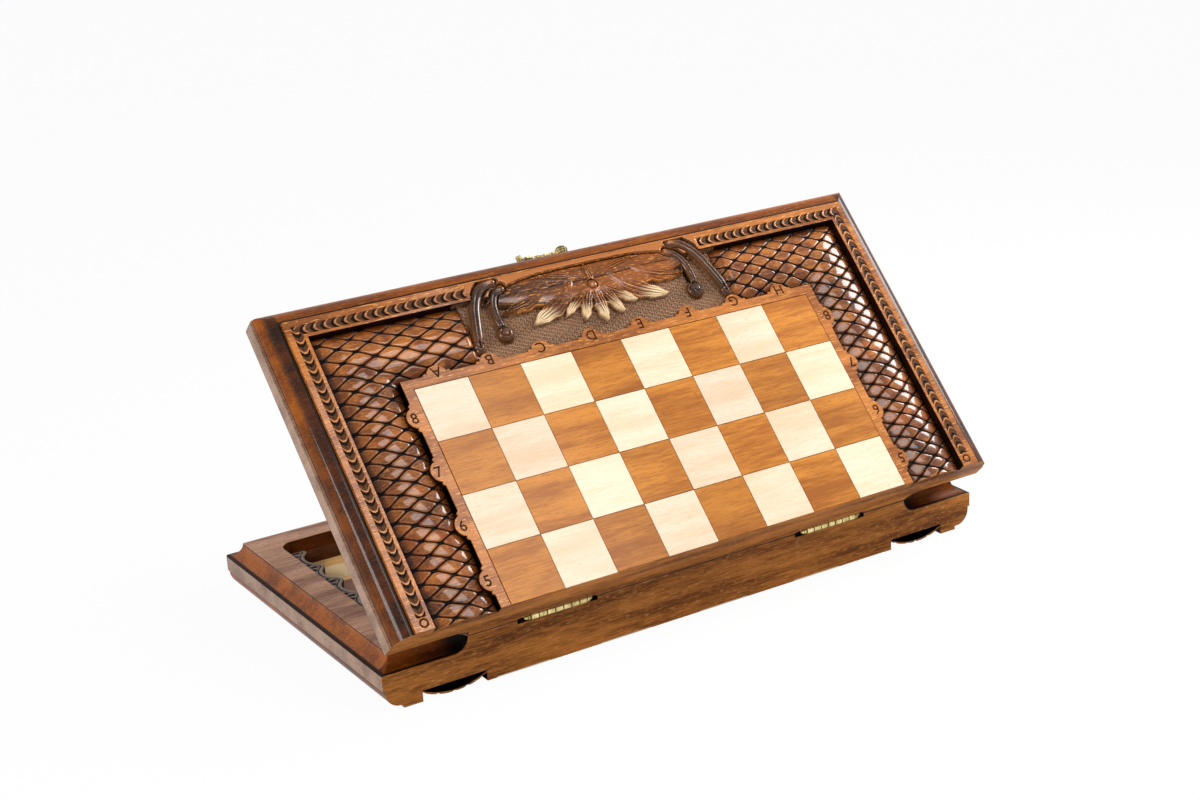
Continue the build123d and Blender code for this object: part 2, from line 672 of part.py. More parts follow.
def catch_stud():
    """Headed stud on the lower half that the hook's slot closes on."""
    neck_end = HOOK_FRONT + HOOK_PLAY
    body = rod_along_y(LATCH_X, HALF_DEPTH - RIVET_DEPTH, neck_end, LATCH_HEIGHT, STUD_RADIUS)
    head_end = neck_end + STUD_HEAD_HEIGHT
    return body + rod_along_y(LATCH_X, neck_end, head_end, LATCH_HEIGHT, STUD_HEAD_RADIUS)


def main():
    os.makedirs("parts", exist_ok=True)
    write("lower_case", seated_lower(case()))
    write("upper_case", seated_upper(case()))
    for name, seat, upper in (("lower", seated_lower, False), ("upper", seated_upper, True)):
        write(name + "_light_squares", seat(squares(False, upper)))
        write(name + "_dark_squares", seat(squares(True, upper)))
        write(name + "_tray_veneer", seat(tray_veneer()))
        write(name + "_light_points", seat(points(False)))
        write(name + "_dark_points", seat(points(True)))
        write(name + "_left_rail", seat(rail(-1)))
        write(name + "_right_rail", seat(rail(1)))
        write(name + "_hinge_screws", seat(hinge_screws()))
        parity = 1 if upper else 0
        write("left_hinge_" + name + "_leaf", seat(hinge_leaf(-HINGE_OFFSET, parity)))
        write("right_hinge_" + name + "_leaf", seat(hinge_leaf(HINGE_OFFSET, parity)))
    write("left_hinge_pin", seated_lower(hinge_pin(-HINGE_OFFSET)))
    write("right_hinge_pin", seated_lower(hinge_pin(HINGE_OFFSET)))
    write("latch_plate", seated_upper(face_plate(LATCH_PLATE_LENGTH, RIVET_RADIUS + SCREW_FIT)))
    write("latch_plate_screws", seated_upper(latch_screws()))
    write("latch_washer", seated_upper(latch_washer()))
    write("latch_rivet", seated_upper(latch_rivet()))
    write("latch_hook", seated_upper(latch_hook()))
    write("catch_plate", seated_lower(face_plate(CATCH_PLATE_LENGTH, STUD_RADIUS + SCREW_FIT)))
    write("catch_plate_screws", seated_lower(latch_screws()))
    write("catch_stud", seated_lower(catch_stud()))


main()
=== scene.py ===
import math
import bmesh
import bpy
import numpy as np
from mathutils import Matrix, Vector
from mathutils.geometry import delaunay_2d_cdt


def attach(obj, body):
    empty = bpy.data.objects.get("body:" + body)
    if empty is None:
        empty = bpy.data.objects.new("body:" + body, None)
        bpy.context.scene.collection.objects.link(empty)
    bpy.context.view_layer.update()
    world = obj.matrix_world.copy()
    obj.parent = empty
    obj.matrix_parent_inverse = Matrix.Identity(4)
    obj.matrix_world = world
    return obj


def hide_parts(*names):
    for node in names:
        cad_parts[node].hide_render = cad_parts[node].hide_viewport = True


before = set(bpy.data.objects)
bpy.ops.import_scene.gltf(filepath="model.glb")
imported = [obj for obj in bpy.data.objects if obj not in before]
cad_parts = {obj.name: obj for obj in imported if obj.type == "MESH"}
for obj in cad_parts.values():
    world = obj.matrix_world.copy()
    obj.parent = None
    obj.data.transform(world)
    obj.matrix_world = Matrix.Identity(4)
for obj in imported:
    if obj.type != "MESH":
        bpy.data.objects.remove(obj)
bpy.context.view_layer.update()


# The studio: the board lies on a white table top, between a white panel overhead and a soft box at
# its right, and the camera looks down on the hinge side from the left.
TABLE_REACH = 6.0
CAMERA_PLACE = Vector((-0.82505, -1.36169, 0.70036))
CAMERA_YAW = math.radians(34.138)
CAMERA_PITCH = math.radians(19.481)
CAMERA_ROLL = math.radians(-1.857)
FOCAL_PIXELS = 2306.2
PRINCIPAL_POINT = (708.93, 379.28)
IMAGE_WIDTH = 1200
IMAGE_HEIGHT = 800
SENSOR_WIDTH = 36.0


def srgb(red, green, blue):
    """Linear colour of an 8-bit display colour."""
    return tuple((c / 255 / 12.92 if c <= 10 else ((c / 255 + 0.055) / 1.055) ** 2.4) for c in (red, green, blue)) + (1.0,)


class Finish:
    """A material under construction. add() makes one node, feeds its sockets and returns an output."""

    def __init__(self, name):
        self.material = bpy.data.materials.new(name)
        self.material.use_nodes = True
        self.tree = self.material.node_tree
        self.shader = self.tree.nodes["Principled BSDF"]

    def feed(self, socket, value):
        if isinstance(value, bpy.types.NodeSocket):
            self.tree.links.new(value, socket)
        else:
            socket.default_value = value

    def add(self, kind, sockets, output=0, **settings):
        node = self.tree.nodes.new("ShaderNode" + kind)
        for name, value in settings.items():
            setattr(node, name, value)
        for key, value in sockets.items():
            self.feed(node.inputs[key], value)
        return node.outputs[output]

    def math(self, operation, first, second=0.0):
        return self.add("Math", {0: first, 1: second}, operation=operation)

    def between(self, value, low, high):
        """0 below low, 1 above high, and a smooth step in between; low above high turns it round."""
        if low > high:
            return self.math("SUBTRACT", 1.0, self.between(value, high, low))
        return self.add("MapRange", {0: value, 1: low, 2: high}, interpolation_type="SMOOTHSTEP")

    def mix(self, factor, first, second, blend="MIX"):
        return self.add("Mix", {0: factor, 6: first, 7: second}, output=2, data_type="RGBA", blend_type=blend)

    def noise(self, vector, scale, detail=3.0, rough=0.55):
        return self.add("TexNoise", {"Vector": vector, "Scale": scale, "Detail": detail, "Roughness": rough})

    def surface(self, **values):
        """Sets the shader's own sockets; a double underscore stands for a space in their names."""
        for key, value in values.items():
            self.feed(self.shader.inputs[key.replace("__", " ")], value)
        return self.material


def seen(tree):
    """1 for rays from the camera, in reflections and through glass, and 0 for those that light."""
    path = tree.nodes.new("ShaderNodeLightPath")
    whole = path.outputs["Is Camera Ray"]
    for ray in ("Is Glossy Ray", "Is Transmission Ray"):
        either = tree.nodes.new("ShaderNodeMath")
        either.operation = "MAXIMUM"
        tree.links.new(whole, either.inputs[0])
        tree.links.new(path.outputs[ray], either.inputs[1])
        whole = either.outputs[0]
    return whole


def table_top(glow_share):
    """White table: it keeps the object's shadow, and its glow lifts the rest to plain white."""
    mesh = bpy.data.meshes.new("table")
    r = TABLE_REACH
    mesh.from_pydata([(-r, -r, 0), (r, -r, 0), (r, r, 0), (-r, r, 0)], [], [(0, 1, 2, 3)])
    table = bpy.data.objects.new("table", mesh)
    bpy.context.collection.objects.link(table)
    finish = Finish("white_table")
    finish.surface(Base__Color=(0.86, 0.86, 0.86, 1), Roughness=0.9, Specular__IOR__Level=0.0)
    glow = finish.add("Emission", {"Color": (1, 1, 1, 1), "Strength": 1.0})
    shown = finish.math("MULTIPLY", seen(finish.tree), glow_share)
    blend = finish.add("MixShader", {0: shown, 1: finish.shader.outputs[0], 2: glow})
    finish.feed(finish.tree.nodes["Material Output"].inputs[0], blend)
    mesh.materials.append(finish.material)


def studio_world(ambient):
    """White to the camera, in reflections and through glass, and a low even light on the object."""
    world = bpy.data.worlds.new("studio")
    world.use_nodes = True
    bpy.context.scene.world = world
    tree = world.node_tree
    strength = tree.nodes.new("ShaderNodeMapRange")
    tree.links.new(seen(tree), strength.inputs[0])
    strength.inputs[3].default_value = ambient
    strength.inputs[4].default_value = 1.0
    background = tree.nodes["Background"]
    background.inputs[0].default_value = (1, 1, 1, 1)
    tree.links.new(strength.outputs[0], background.inputs[1])


def soft_light(name, place, target, width, height, radiance):
    """A rectangular soft box that faces its target; its power follows from its area and radiance."""
    data = bpy.data.lights.new(name, "AREA")
    data.shape = "RECTANGLE"
    data.size = width
    data.size_y = height
    data.energy = radiance * math.pi * width * height
    light = bpy.data.objects.new(name, data)
    bpy.context.collection.objects.link(light)
    aim = (Vector(target) - Vector(place)).to_track_quat("-Z", "Y")
    light.matrix_world = Matrix.Translation(place) @ aim.to_matrix().to_4x4()


def photo_camera():
    """The photograph's camera, from its yaw, pitch and roll and its principal point."""
    data = bpy.data.cameras.new("camera")
    data.sensor_width = SENSOR_WIDTH
    data.lens = FOCAL_PIXELS / IMAGE_WIDTH * SENSOR_WIDTH
    data.shift_x = (IMAGE_WIDTH / 2 - PRINCIPAL_POINT[0]) / IMAGE_WIDTH
    data.shift_y = (PRINCIPAL_POINT[1] - IMAGE_HEIGHT / 2) / IMAGE_WIDTH
    data.clip_end = 20
    camera = bpy.data.objects.new("camera", data)
    bpy.context.collection.objects.link(camera)
    level = math.cos(CAMERA_PITCH)
    forward = Vector((math.sin(CAMERA_YAW) * level, math.cos(CAMERA_YAW) * level, -math.sin(CAMERA_PITCH)))
    right = Vector((math.cos(CAMERA_YAW), -math.sin(CAMERA_YAW), 0))
    up = right.cross(forward)
    rolled_right = right * math.cos(CAMERA_ROLL) + up * math.sin(CAMERA_ROLL)
    rolled_up = up * math.cos(CAMERA_ROLL) - right * math.sin(CAMERA_ROLL)
    turn = Matrix((rolled_right, rolled_up, -forward)).transposed()
    camera.matrix_world = Matrix.Translation(CAMERA_PLACE) @ turn.to_4x4()
    bpy.context.scene.camera = camera


table_top(glow_share=0.95)
studio_world(ambient=0.34)
soft_light("overhead_panel", (0.42, -0.88, 1.5), (0, -0.05, 0.1), 0.75, 0.65, 9.0)
soft_light("right_soft_box", (0.85, -0.12, 0.62), (0.1, -0.05, 0.12), 0.34, 0.3, 24.0)
soft_light("left_strip", (-1.15, -0.35, 0.75), (-0.2, -0.1, 0.12), 0.36, 0.32, 19.0)
photo_camera()
bpy.context.scene.view_settings.view_transform = "Standard"


# The two cases: a frame and panel of stained beech each, hinged along one long edge. The lower one
# lies on its carved face and the upper one leans back. The flats are rubbed back and the hollows
# left dark, partly stained and partly painted shade, under a gloss varnish. Both come from the CAD,
# and the carving is laid on them.
MM = 0.001
HALF_LENGTH = 250.0
HALF_DEPTH = 250.0
FACE = 37.0
RECESS = 221.6
RECESS_FLOOR = 29.6
HINGE_Y = -0.125
HINGE_Z = 0.037
OPENING = math.radians(45)
HALVES = ("upper", "lower")


def seat(half, x, t, n):
    """Places points of a half, in mm along the hinge, away from it and out from the seam plane.

    The lower half lies face down, so out is down. The upper one is turned up by the opening angle.
    """
    x, t, n = np.broadcast_arrays(x, t, n)
    if half == "lower":
        y, z = t, -n
    else:
        y = t * math.cos(OPENING) - n * math.sin(OPENING)
        z = t * math.sin(OPENING) + n * math.cos(OPENING)
    return np.stack((x * MM, HINGE_Y + y * MM, HINGE_Z + z * MM), axis=-1)


def half_place(finish, half):
    """Object coordinates turned into the half's own: along the hinge, away from it, outwards."""
    place = finish.add("TexCoord", {}, output="Object")
    if half == "lower":
        return finish.add("Mapping", {0: place, 1: (0, -HINGE_Y, HINGE_Z), 3: (1, 1, -1)})
    c, s = math.cos(OPENING), math.sin(OPENING)
    shift = (0, -(HINGE_Y * c + HINGE_Z * s), -(-HINGE_Y * s + HINGE_Z * c))
    return finish.add("Mapping", {0: place, 1: shift, 2: (-OPENING, 0, 0)})


def split(finish, place):
    """Distance from the middle of the board, distance from the hinge, and height, in mm."""
    scaled = finish.add("VectorMath", {0: place, "Scale": 1 / MM}, operation="SCALE")
    parts = finish.tree.nodes.new("ShaderNodeSeparateXYZ")
    finish.feed(parts.inputs[0], scaled)
    return finish.math("ABSOLUTE", parts.outputs[0]), parts.outputs[1], parts.outputs[2]


def wood(finish, place, dark, light, fleck, flecks=0.5):
    """Colour of stained beech with its fibres along the hinge.

    Broad bands of figure and fine fibres, both noise stretched along the grain, mix the two
    colours, and short ray flecks lie on them.
    """
    figure = finish.noise(finish.add("Mapping", {0: place, 3: (7, 60, 60)}), 1, 4, 0.6)
    fibre = finish.noise(finish.add("Mapping", {0: place, 3: (60, 900, 900)}), 1, 3, 0.6)
    ray = finish.noise(finish.add("Mapping", {0: place, 3: (190, 1500, 1500)}), 1, 1, 0.4)
    body = finish.math("ADD", finish.math("MULTIPLY", figure, 0.65), finish.math("MULTIPLY", fibre, 0.35))
    colour = finish.mix(finish.between(body, 0.37, 0.63), srgb(*dark), srgb(*light))
    shown = finish.math("MULTIPLY", finish.between(ray, 0.6, 0.7), flecks)
    return finish.mix(shown, colour, srgb(*fleck)), fibre


def varnish(finish, colour, fibre, coat=0.6, coat_roughness=0.12, rough=0.5, depth=0.00012):
    """Gloss varnish over wood, whose fibres still show a little in it."""
    bump = finish.add("Bump", {"Height": fibre, "Strength": 0.35, "Distance": depth})
    return finish.surface(Base__Color=colour, Roughness=rough, Normal=bump, Coat__Weight=coat, Coat__IOR=1.36,
                          Coat__Roughness=coat_roughness, Specular__IOR__Level=0.08)


SANDED = ((94, 50, 16), (184, 116, 52), (206, 144, 78), 0.5)


def case_finish(half):
    """Stained beech of a case: one colour for each part of the moulded section, found by place.

    The flats are rubbed back and nearly matt, and the coves, round edges and hollows dark and glossy, some of that
    dark being painted shade.
    """
    finish = Finish(half + "_case_wood")
    place = half_place(finish, half)
    x, t, n = split(finish, place)
    face, fibre = wood(finish, place, (120, 62, 20), (188, 114, 50), (236, 170, 88), 0.6)
    edge, _ = wood(finish, place, (104, 46, 2), (166, 86, 4), (216, 140, 40), 0.4)
    hinge_cove_shade, _ = wood(finish, place, (50, 20, 4), (92, 42, 12), (140, 78, 28), 0.3)
    crown, _ = wood(finish, place, (30, 11, 1), (78, 34, 5), (132, 72, 18), 0.3)
    side, _ = wood(finish, place, *SANDED)
    hollow, _ = wood(finish, place, (16, 6, 2), (42, 19, 7), (90, 46, 18), 0.3)
    rim, _ = wood(finish, place, (124, 92, 72), (178, 142, 118), (196, 160, 132), 0.4)
    lid, _ = wood(finish, place, (136, 98, 80), (210, 164, 138), (112, 80, 62), 0.6)
    outside = finish.math("MAXIMUM", finish.between(x, 236.0, 237.2), finish.between(t, 236.0, 237.2))
    colour = finish.mix(outside, face, edge)
    colour = finish.mix(finish.between(n, 34.9, 34.3), colour, edge)
    end = finish.add("MapRange", {0: x, 1: 236.0, 2: 237.2, 3: 0.35, 4: 1.0})
    end = finish.math("MULTIPLY", end, outside)
    colour = finish.mix(finish.math("MULTIPLY", end, finish.between(n, 29.5, 33.0)), colour, crown)
    # Painted shade: the left round edge is darkened towards the hinge, as if it reflected a dark surrounding there.
    left = finish.tree.nodes.new("ShaderNodeSeparateXYZ")
    finish.feed(left.inputs[0], place)
    left = finish.between(left.outputs[0], 0.0, -0.02)
    left_painted_shade = finish.math("MULTIPLY", finish.math("MULTIPLY", end, left), finish.between(t, 200, 120))
    colour = finish.mix(finish.math("MULTIPLY", left_painted_shade, 0.6), colour, crown)
    reach = finish.math("MAXIMUM", x, t)
    step = finish.math("MULTIPLY", finish.between(reach, 235.7, 235.95), finish.between(reach, 238.3, 237.6))
    step = finish.math("MULTIPLY", step, finish.between(n, 36.95, 36.7))
    step = finish.math("MULTIPLY", step, finish.between(n, 33.4, 34.1))
    colour = finish.mix(step, colour, srgb(24, 13, 7))
    # The recess walls and the ground under the carving go near black: partly dark stain, partly painted shade.
    inside = finish.math("MULTIPLY", finish.between(x, 221.95, 221.65), finish.between(t, 221.95, 221.65))
    colour = finish.mix(inside, colour, hollow)
    colour = finish.mix(finish.between(n, 22.8, 22.0), colour, rim)
    colour = finish.mix(finish.between(n, 10.6, 10.1), colour, edge)
    # Painted shade: the cove where it stops at the hinge is darkened, and near black towards its inner end.
    corner = finish.math("MULTIPLY", finish.between(n, 10.6, 10.1), finish.between(t, 11.5, 10.5))
    colour = finish.mix(finish.math("MULTIPLY", corner, 0.7), colour, hinge_cove_shade)
    colour = finish.mix(finish.math("MULTIPLY", corner, finish.between(x, 210, 192)), colour, srgb(16, 7, 3))
    line = finish.math("ABSOLUTE", finish.math("SUBTRACT", n, 22.9))
    line = finish.math("MINIMUM", line, finish.math("ABSOLUTE", finish.math("SUBTRACT", n, 10.4)))
    line = finish.math("MINIMUM", line, finish.math("ABSOLUTE", finish.math("SUBTRACT", n, 1.0)))
    line = finish.between(line, 0.6, 0.15)
    colour = finish.mix(line, colour, srgb(34, 16, 6))
    hinge_face = finish.between(t, 0.8, 0.3)
    colour = finish.mix(hinge_face, colour, side)
    seam = finish.between(n, 0.8, 0.3)
    colour = finish.mix(seam, colour, lid)
    arris = finish.between(finish.math("MAXIMUM", t, n), 0.75, 0.35)
    colour = finish.mix(arris, colour, srgb(18, 9, 4))
    tray = finish.math("MULTIPLY", finish.between(x, 220.9, 220.4), finish.between(t, 220.9, 220.4))
    tray = finish.math("MULTIPLY", tray, finish.between(n, 0.3, 1.2))
    tray = finish.math("MULTIPLY", tray, finish.between(n, 24.2, 23.8))
    tray = finish.math("MULTIPLY", tray, finish.between(t, 18.6, 19.1))
    wall, _ = wood(finish, place, (40, 15, 4), (96, 46, 14), (140, 76, 30), 0.3)
    colour = finish.mix(tray, colour, wall)
    under_plate = finish.math("MULTIPLY", inside, finish.between(n, 34.0, 35.6))
    matt = finish.math("MAXIMUM", finish.math("MAXIMUM", hinge_face, seam), under_plate)
    matt = finish.math("MAXIMUM", finish.math("MAXIMUM", matt, line), corner)
    matt = finish.math("MAXIMUM", matt, finish.math("MULTIPLY", step, 0.9))
    round_edge = finish.math("MULTIPLY", outside, finish.between(n, 23.2, 24.2))
    matt = finish.math("MAXIMUM", matt, finish.math("MULTIPLY", round_edge, 0.3))
    matt = finish.math("MAXIMUM", matt, finish.math("MULTIPLY", inside, 0.8))
    gloss = finish.add("MapRange", {0: matt, 3: 0.52, 4: 0.03})
    return varnish(finish, colour, fibre, gloss, 0.08)


CASE_FINISH = {half: case_finish(half) for half in HALVES}
for half in HALVES:
    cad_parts[half + "_case"].data.materials[0] = CASE_FINISH[half]


# The chess field: veneer squares in a routed bed, half of the field on each half. The light ones
# are plain beech and the dark ones stained, and each was cut from its own stretch of veneer.
SQUARE = 41.4
FIELD = 165.6


def veneer_finish(name, half, dark, light, fleck, flecks, gloss):
    """Veneer whose tone and figure differ from square to square: each is a cell of the field."""
    finish = Finish(half + name)
    place = half_place(finish, half)
    corner = finish.add("VectorMath", {0: place, 1: (FIELD * MM, 0, 0)}, operation="ADD")
    cell = finish.add("VectorMath", {0: corner, "Scale": 1 / (SQUARE * MM)}, operation="SCALE")
    cell = finish.add("VectorMath", {0: cell}, operation="FLOOR")
    cell = finish.add("VectorMath", {0: cell, 1: (1, 1, 0)}, operation="MULTIPLY")
    own = finish.add("TexWhiteNoise", {"Vector": cell}, output=0)
    drawn = finish.add("TexWhiteNoise", {"Vector": cell}, output=1)
    shifted = finish.add("VectorMath", {0: place, 1: drawn}, operation="ADD")
    colour, fibre = wood(finish, shifted, dark, light, fleck, flecks)
    tone = finish.add("MapRange", {0: own, 3: 0.86, 4: 1.06})
    colour = finish.add("HueSaturation", {"Value": tone, "Color": colour})
    return varnish(finish, colour, fibre, gloss, 0.16, 0.45, 0.00006)


for half in HALVES:
    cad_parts[half + "_light_squares"].data.materials[0] = veneer_finish(
        "_light_veneer", half, (232, 199, 164), (243, 219, 193), (220, 182, 140), 0.45, 0.3)
    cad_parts[half + "_dark_squares"].data.materials[0] = veneer_finish(
        "_dark_veneer", half, (156, 88, 22), (206, 132, 46), (136, 76, 24), 0.5, 0.3)


# The backgammon trays: a veneered floor with long inlaid points, light and dark in turn, and a
# scalloped rail at each end that keeps the checkers in their rows.
def tray_finish(name, half, dark, light, fleck, gloss):
    finish = Finish(half + name)
    place = half_place(finish, half)
    colour, fibre = wood(finish, place, dark, light, fleck, 0.3)
    x, t, n = split(finish, place)
    # Painted shadow: the floor is near black along the rails' lip, where the pockets lie in shade.
    colour = finish.mix(finish.between(x, 202.8, 204.4), colour, srgb(14, 8, 5))
    return varnish(finish, colour, fibre, gloss, 0.2, 0.5, 0.00006)


for half in HALVES:
    for node, dark, light, fleck in (
            ("_tray_veneer", (232, 180, 112), (248, 208, 144), (212, 158, 96)),
            ("_light_points", (248, 218, 166), (254, 234, 192), (234, 196, 138)),
            ("_dark_points", (120, 68, 32), (166, 104, 54), (186, 126, 72))):
        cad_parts[half + node].data.materials[0] = tray_finish(node, half, dark, light, fleck, 0.5)


# The fittings: cast and turned brass with an antique patina, rubbed brighter in random patches.
HINGE_PLACE = 116.0
KNUCKLE_LENGTH = 6.4


def brass_finish(name, deep, wear_and_glint):
    finish = Finish(name)
    place = finish.add("TexCoord", {}, output="Object")
    cloud = finish.noise(place, 110, 4, 0.6)
    grit = finish.noise(place, 2600, 2, 0.6)
    colour = finish.mix(finish.between(cloud, 0.35, 0.62), srgb(*deep), srgb(*wear_and_glint))
    # Painted shade in the gaps between the knuckles of a hinge's barrel, which lies along the hinge line.
    scaled = finish.add("VectorMath", {0: place, "Scale": 1 / MM}, operation="SCALE")
    parts = finish.tree.nodes.new("ShaderNodeSeparateXYZ")
    finish.feed(parts.inputs[0], scaled)
    knuckle = finish.math("DIVIDE", finish.math("SUBTRACT", finish.math("ABSOLUTE", parts.outputs[0]), HINGE_PLACE),
                          KNUCKLE_LENGTH)
    knuckle = finish.math("FRACT", finish.math("ADD", knuckle, 10.5))
    knuckle_gap_shade = finish.between(finish.math("ABSOLUTE", finish.math("SUBTRACT", knuckle, 0.5)), 0.415, 0.46)
    flat = finish.add("VectorMath", {0: scaled, 1: (0, 1, 1)}, operation="MULTIPLY")
    away = finish.add("VectorMath", {0: flat, 1: (0, HINGE_Y / MM, HINGE_Z / MM)}, output=1, operation="DISTANCE")
    knuckle_gap_shade = finish.math("MULTIPLY", knuckle_gap_shade, finish.between(away, 3.0, 2.8))
    colour = finish.mix(knuckle_gap_shade, colour, srgb(30, 24, 12))
    bump = finish.add("Bump", {"Height": grit, "Strength": 0.3, "Distance": 0.00005})
    rough = finish.add("MapRange", {0: cloud, 3: 0.4, 4: 0.2})
    return finish.surface(Base__Color=colour, Metallic=1.0, Roughness=rough, Normal=bump)


BRASS = brass_finish("antique_brass", (104, 88, 54), (182, 162, 110))
HINGE_BRASS = brass_finish("hinge_brass", (164, 142, 84), (240, 222, 158))
for name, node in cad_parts.items():
    if any(word in name for word in ("leaf", "pin", "screws", "latch", "catch")):
        node.data.materials[0] = HINGE_BRASS if "hinge" in name else BRASS


# The net: the recess round the chess plate swells into a rounded band, cut with a V tool into a net
# of long diamonds, each one a smooth pad, with a drilled pit at every crossing. It is carved in the
# panel; here each side of each half is one closed piece laid over the CAD's plain swell.
PLATE = 173.2
CREST_END = 106.5
NET_WIDTH = RECESS - PLATE
NET_FLOOR = 29.0
NET_FOOT = 30.2
NET_CROWN = 36.5
NET_CUT = 0.95
NET_CUT_HALF_WIDTH = 1.0
NET_PIT_RADIUS = 2.35
NET_START = 0.15
NET_STEPS = (0, 0.03, 0.065, 0.11, 0.2, 0.35, 0.5, 0.65, 0.8, 0.89, 0.935, 0.97)
NET_LATTICES = {-1: (23.4, 11.4, -205.2, 208.5), 1: (20.1, 11.3, 203.0, 207.0)}


def clip(value, low=0.0, high=1.0):
    return np.minimum(np.maximum(value, low), high)


def ease(value, low=0.0, high=1.0):
    """0 below low, 1 above high, and the cubic 3u^2 - 2u^3 in between."""
    u = clip((value - low) / (high - low))
    return u * u * (3 - 2 * u)


def grid_faces(rows, columns):
    """Quads of a grid of points, counted row by row."""
    corner = (np.arange(rows - 1)[:, None] * columns + np.arange(columns - 1)).reshape(-1, 1)
    return corner + np.array((0, 1, columns + 1, columns))


def build(name, half, points, faces, values, finish, sharp=0.7):
    """Makes a piece of points in the half's own mm, and rides it on the half.

    The lower half is a mirror image, so its faces are turned round. Values are kept per point.
    """
    body = half + "_half"
    x, t, n = np.asarray(points, float).T
    if half == "lower":
        faces = [face[::-1] for face in faces]
    mesh = bpy.data.meshes.new(name)
    mesh.from_pydata(seat(half, x, t, n).tolist(), [], [list(map(int, face)) for face in faces])
    for key, value in values.items():
        mesh.attributes.new(key, "FLOAT", "POINT").data.foreach_set("value", np.asarray(value, np.float32))
    mesh.materials.append(finish)
    mesh.shade_smooth()
    mesh.set_sharp_from_angle(angle=sharp)
    piece = bpy.data.objects.new(name, mesh)
    bpy.context.collection.objects.link(piece)
    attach(piece, body)
    return piece


def cut_to(points, faces, lines):
    """Cuts a flat sheet in (x, t) back to where a*x + b*t <= c for every line (a, b, c)."""
    mesh = bpy.data.meshes.new("sheet")
    mesh.from_pydata([(x, t, 0.0) for x, t in points.tolist()], [], faces.tolist())
    sheet = bmesh.new()
    sheet.from_mesh(mesh)
    bmesh.ops.delete(sheet, geom=[v for v in sheet.verts if not v.link_faces], context="VERTS")
    for a, b, c in lines:
        size = math.hypot(a, b)
        origin = (a * c / size ** 2, b * c / size ** 2, 0)
        geometry = sheet.verts[:] + sheet.edges[:] + sheet.faces[:]
        bmesh.ops.bisect_plane(sheet, geom=geometry, dist=1e-4, plane_co=origin,
                               plane_no=(a, b, 0), clear_outer=True)
    bmesh.ops.remove_doubles(sheet, verts=sheet.verts, dist=1e-3)
    sheet.verts.index_update()
    points = np.array([v.co[:2] for v in sheet.verts])
    faces = [[v.index for v in face.verts] for face in sheet.faces]
    sheet.free()
    bpy.data.meshes.remove(mesh)
    return points, faces


def carve(name, half, points, faces, surface, floor, finish, sharp=0.7):
    """Raises a flat sheet to a carved surface, and closes it with a skirt and a flat bottom.

    surface(x, t) gives the height and the values of each point. Every open edge of the sheet gets
    a wall down to the floor, and every loop of open edges a bottom face. A floor above the surface
    makes a piece that faces the seam.
    """
    height, values = surface(points[:, 0], points[:, 1])
    top = np.column_stack((points, height))
    first = points[faces[0]]
    area = np.sum(first[:, 0] * np.roll(first[:, 1], -1) - np.roll(first[:, 0], -1) * first[:, 1])
    if (area < 0) == (floor < height.mean()):
        faces = [list(face)[::-1] for face in faces]
    owned = {(a, b) for face in faces for a, b in zip(face, list(face[1:]) + [face[0]])}
    following = {a: b for a, b in owned if (b, a) not in owned}
    rim = sorted(following)
    below = {a: len(top) + i for i, a in enumerate(rim)}
    under = np.column_stack((points[rim], np.full(len(rim), float(floor))))
    walls = [[b, a, below[a], below[b]] for a, b in following.items()]
    bottoms = []
    while following:
        start = next(iter(following))
        loop, point = [], start
        while point in following:
            loop.append(point)
            point = following.pop(point)
        bottoms.append([below[a] for a in loop][::-1])
    kept = {key: np.concatenate((value, value[rim])) for key, value in values.items()}
    build(name, half, np.vstack((top, under)), list(faces) + walls + bottoms, kept, finish, sharp)


def hinge_side(finish, place, colour, gloss):
    """The cut end at the hinge side of a piece, sanded flush with the case: plain and nearly matt."""
    x, t, n = split(finish, place)
    end = finish.between(t, 0.3, 0.1)
    side, _ = wood(finish, place, *SANDED)
    return finish.mix(end, colour, side), finish.add("MapRange", {0: end, 3: gloss, 4: 0.04})


def net_finish(half):
    """Carved beech: red-brown pads with lighter crowns, partly rubbed wood and partly a painted highlight, and
    black-brown cuts, partly stained and partly painted shade.
    """
    finish = Finish(half + "_net_wood")
    place = half_place(finish, half)
    stain_and_shade = finish.add("Attribute", {}, output="Fac", attribute_name="stain_and_shade")
    wiped_and_highlight = finish.add("Attribute", {}, output="Fac", attribute_name="wiped_and_highlight")
    wear_and_glint = finish.add("Attribute", {}, output="Fac", attribute_name="wear_and_glint")
    dark, fibre = wood(finish, place, (46, 16, 1), (118, 52, 3), (178, 98, 22), 0.5)
    light, _ = wood(finish, place, (108, 54, 10), (172, 100, 30), (226, 156, 70), 0.5)
    cloud = finish.noise(place, 70, 3, 0.6)
    # The pad crowns are lightened: partly rubbed wood, partly a painted highlight.
    lit = finish.math("MULTIPLY", wiped_and_highlight, finish.between(cloud, 0.3, 0.62))
    colour = finish.mix(lit, dark, light)
    # Painted highlight along the cut edges, broken up by noise.
    wear_and_glint = finish.math("MULTIPLY", wear_and_glint, finish.add("MapRange", {0: cloud, 1: 0.35, 2: 0.65, 3: 0.08, 4: 0.5}))
    colour = finish.mix(wear_and_glint, colour, srgb(204, 142, 94))
    # The near black here is partly stains in the cuts and partly painted shade and shadow.
    colour = finish.mix(stain_and_shade, colour, srgb(12, 6, 3))
    colour, gloss = hinge_side(finish, place, colour, 0.8)
    gloss = finish.math("MULTIPLY", gloss, finish.math("SUBTRACT", 1.0, finish.math("MULTIPLY", stain_and_shade, 0.85)))
    return varnish(finish, colour, fibre, gloss, 0.07, 0.42)


def wander(x, t):
    """How far the hand-led cuts stray from straight lines: two sines across the net."""
    return 0.5 * np.sin(0.23 * t + 0.11 * x), 0.4 * np.sin(0.19 * x - 0.13 * t + 1.3)


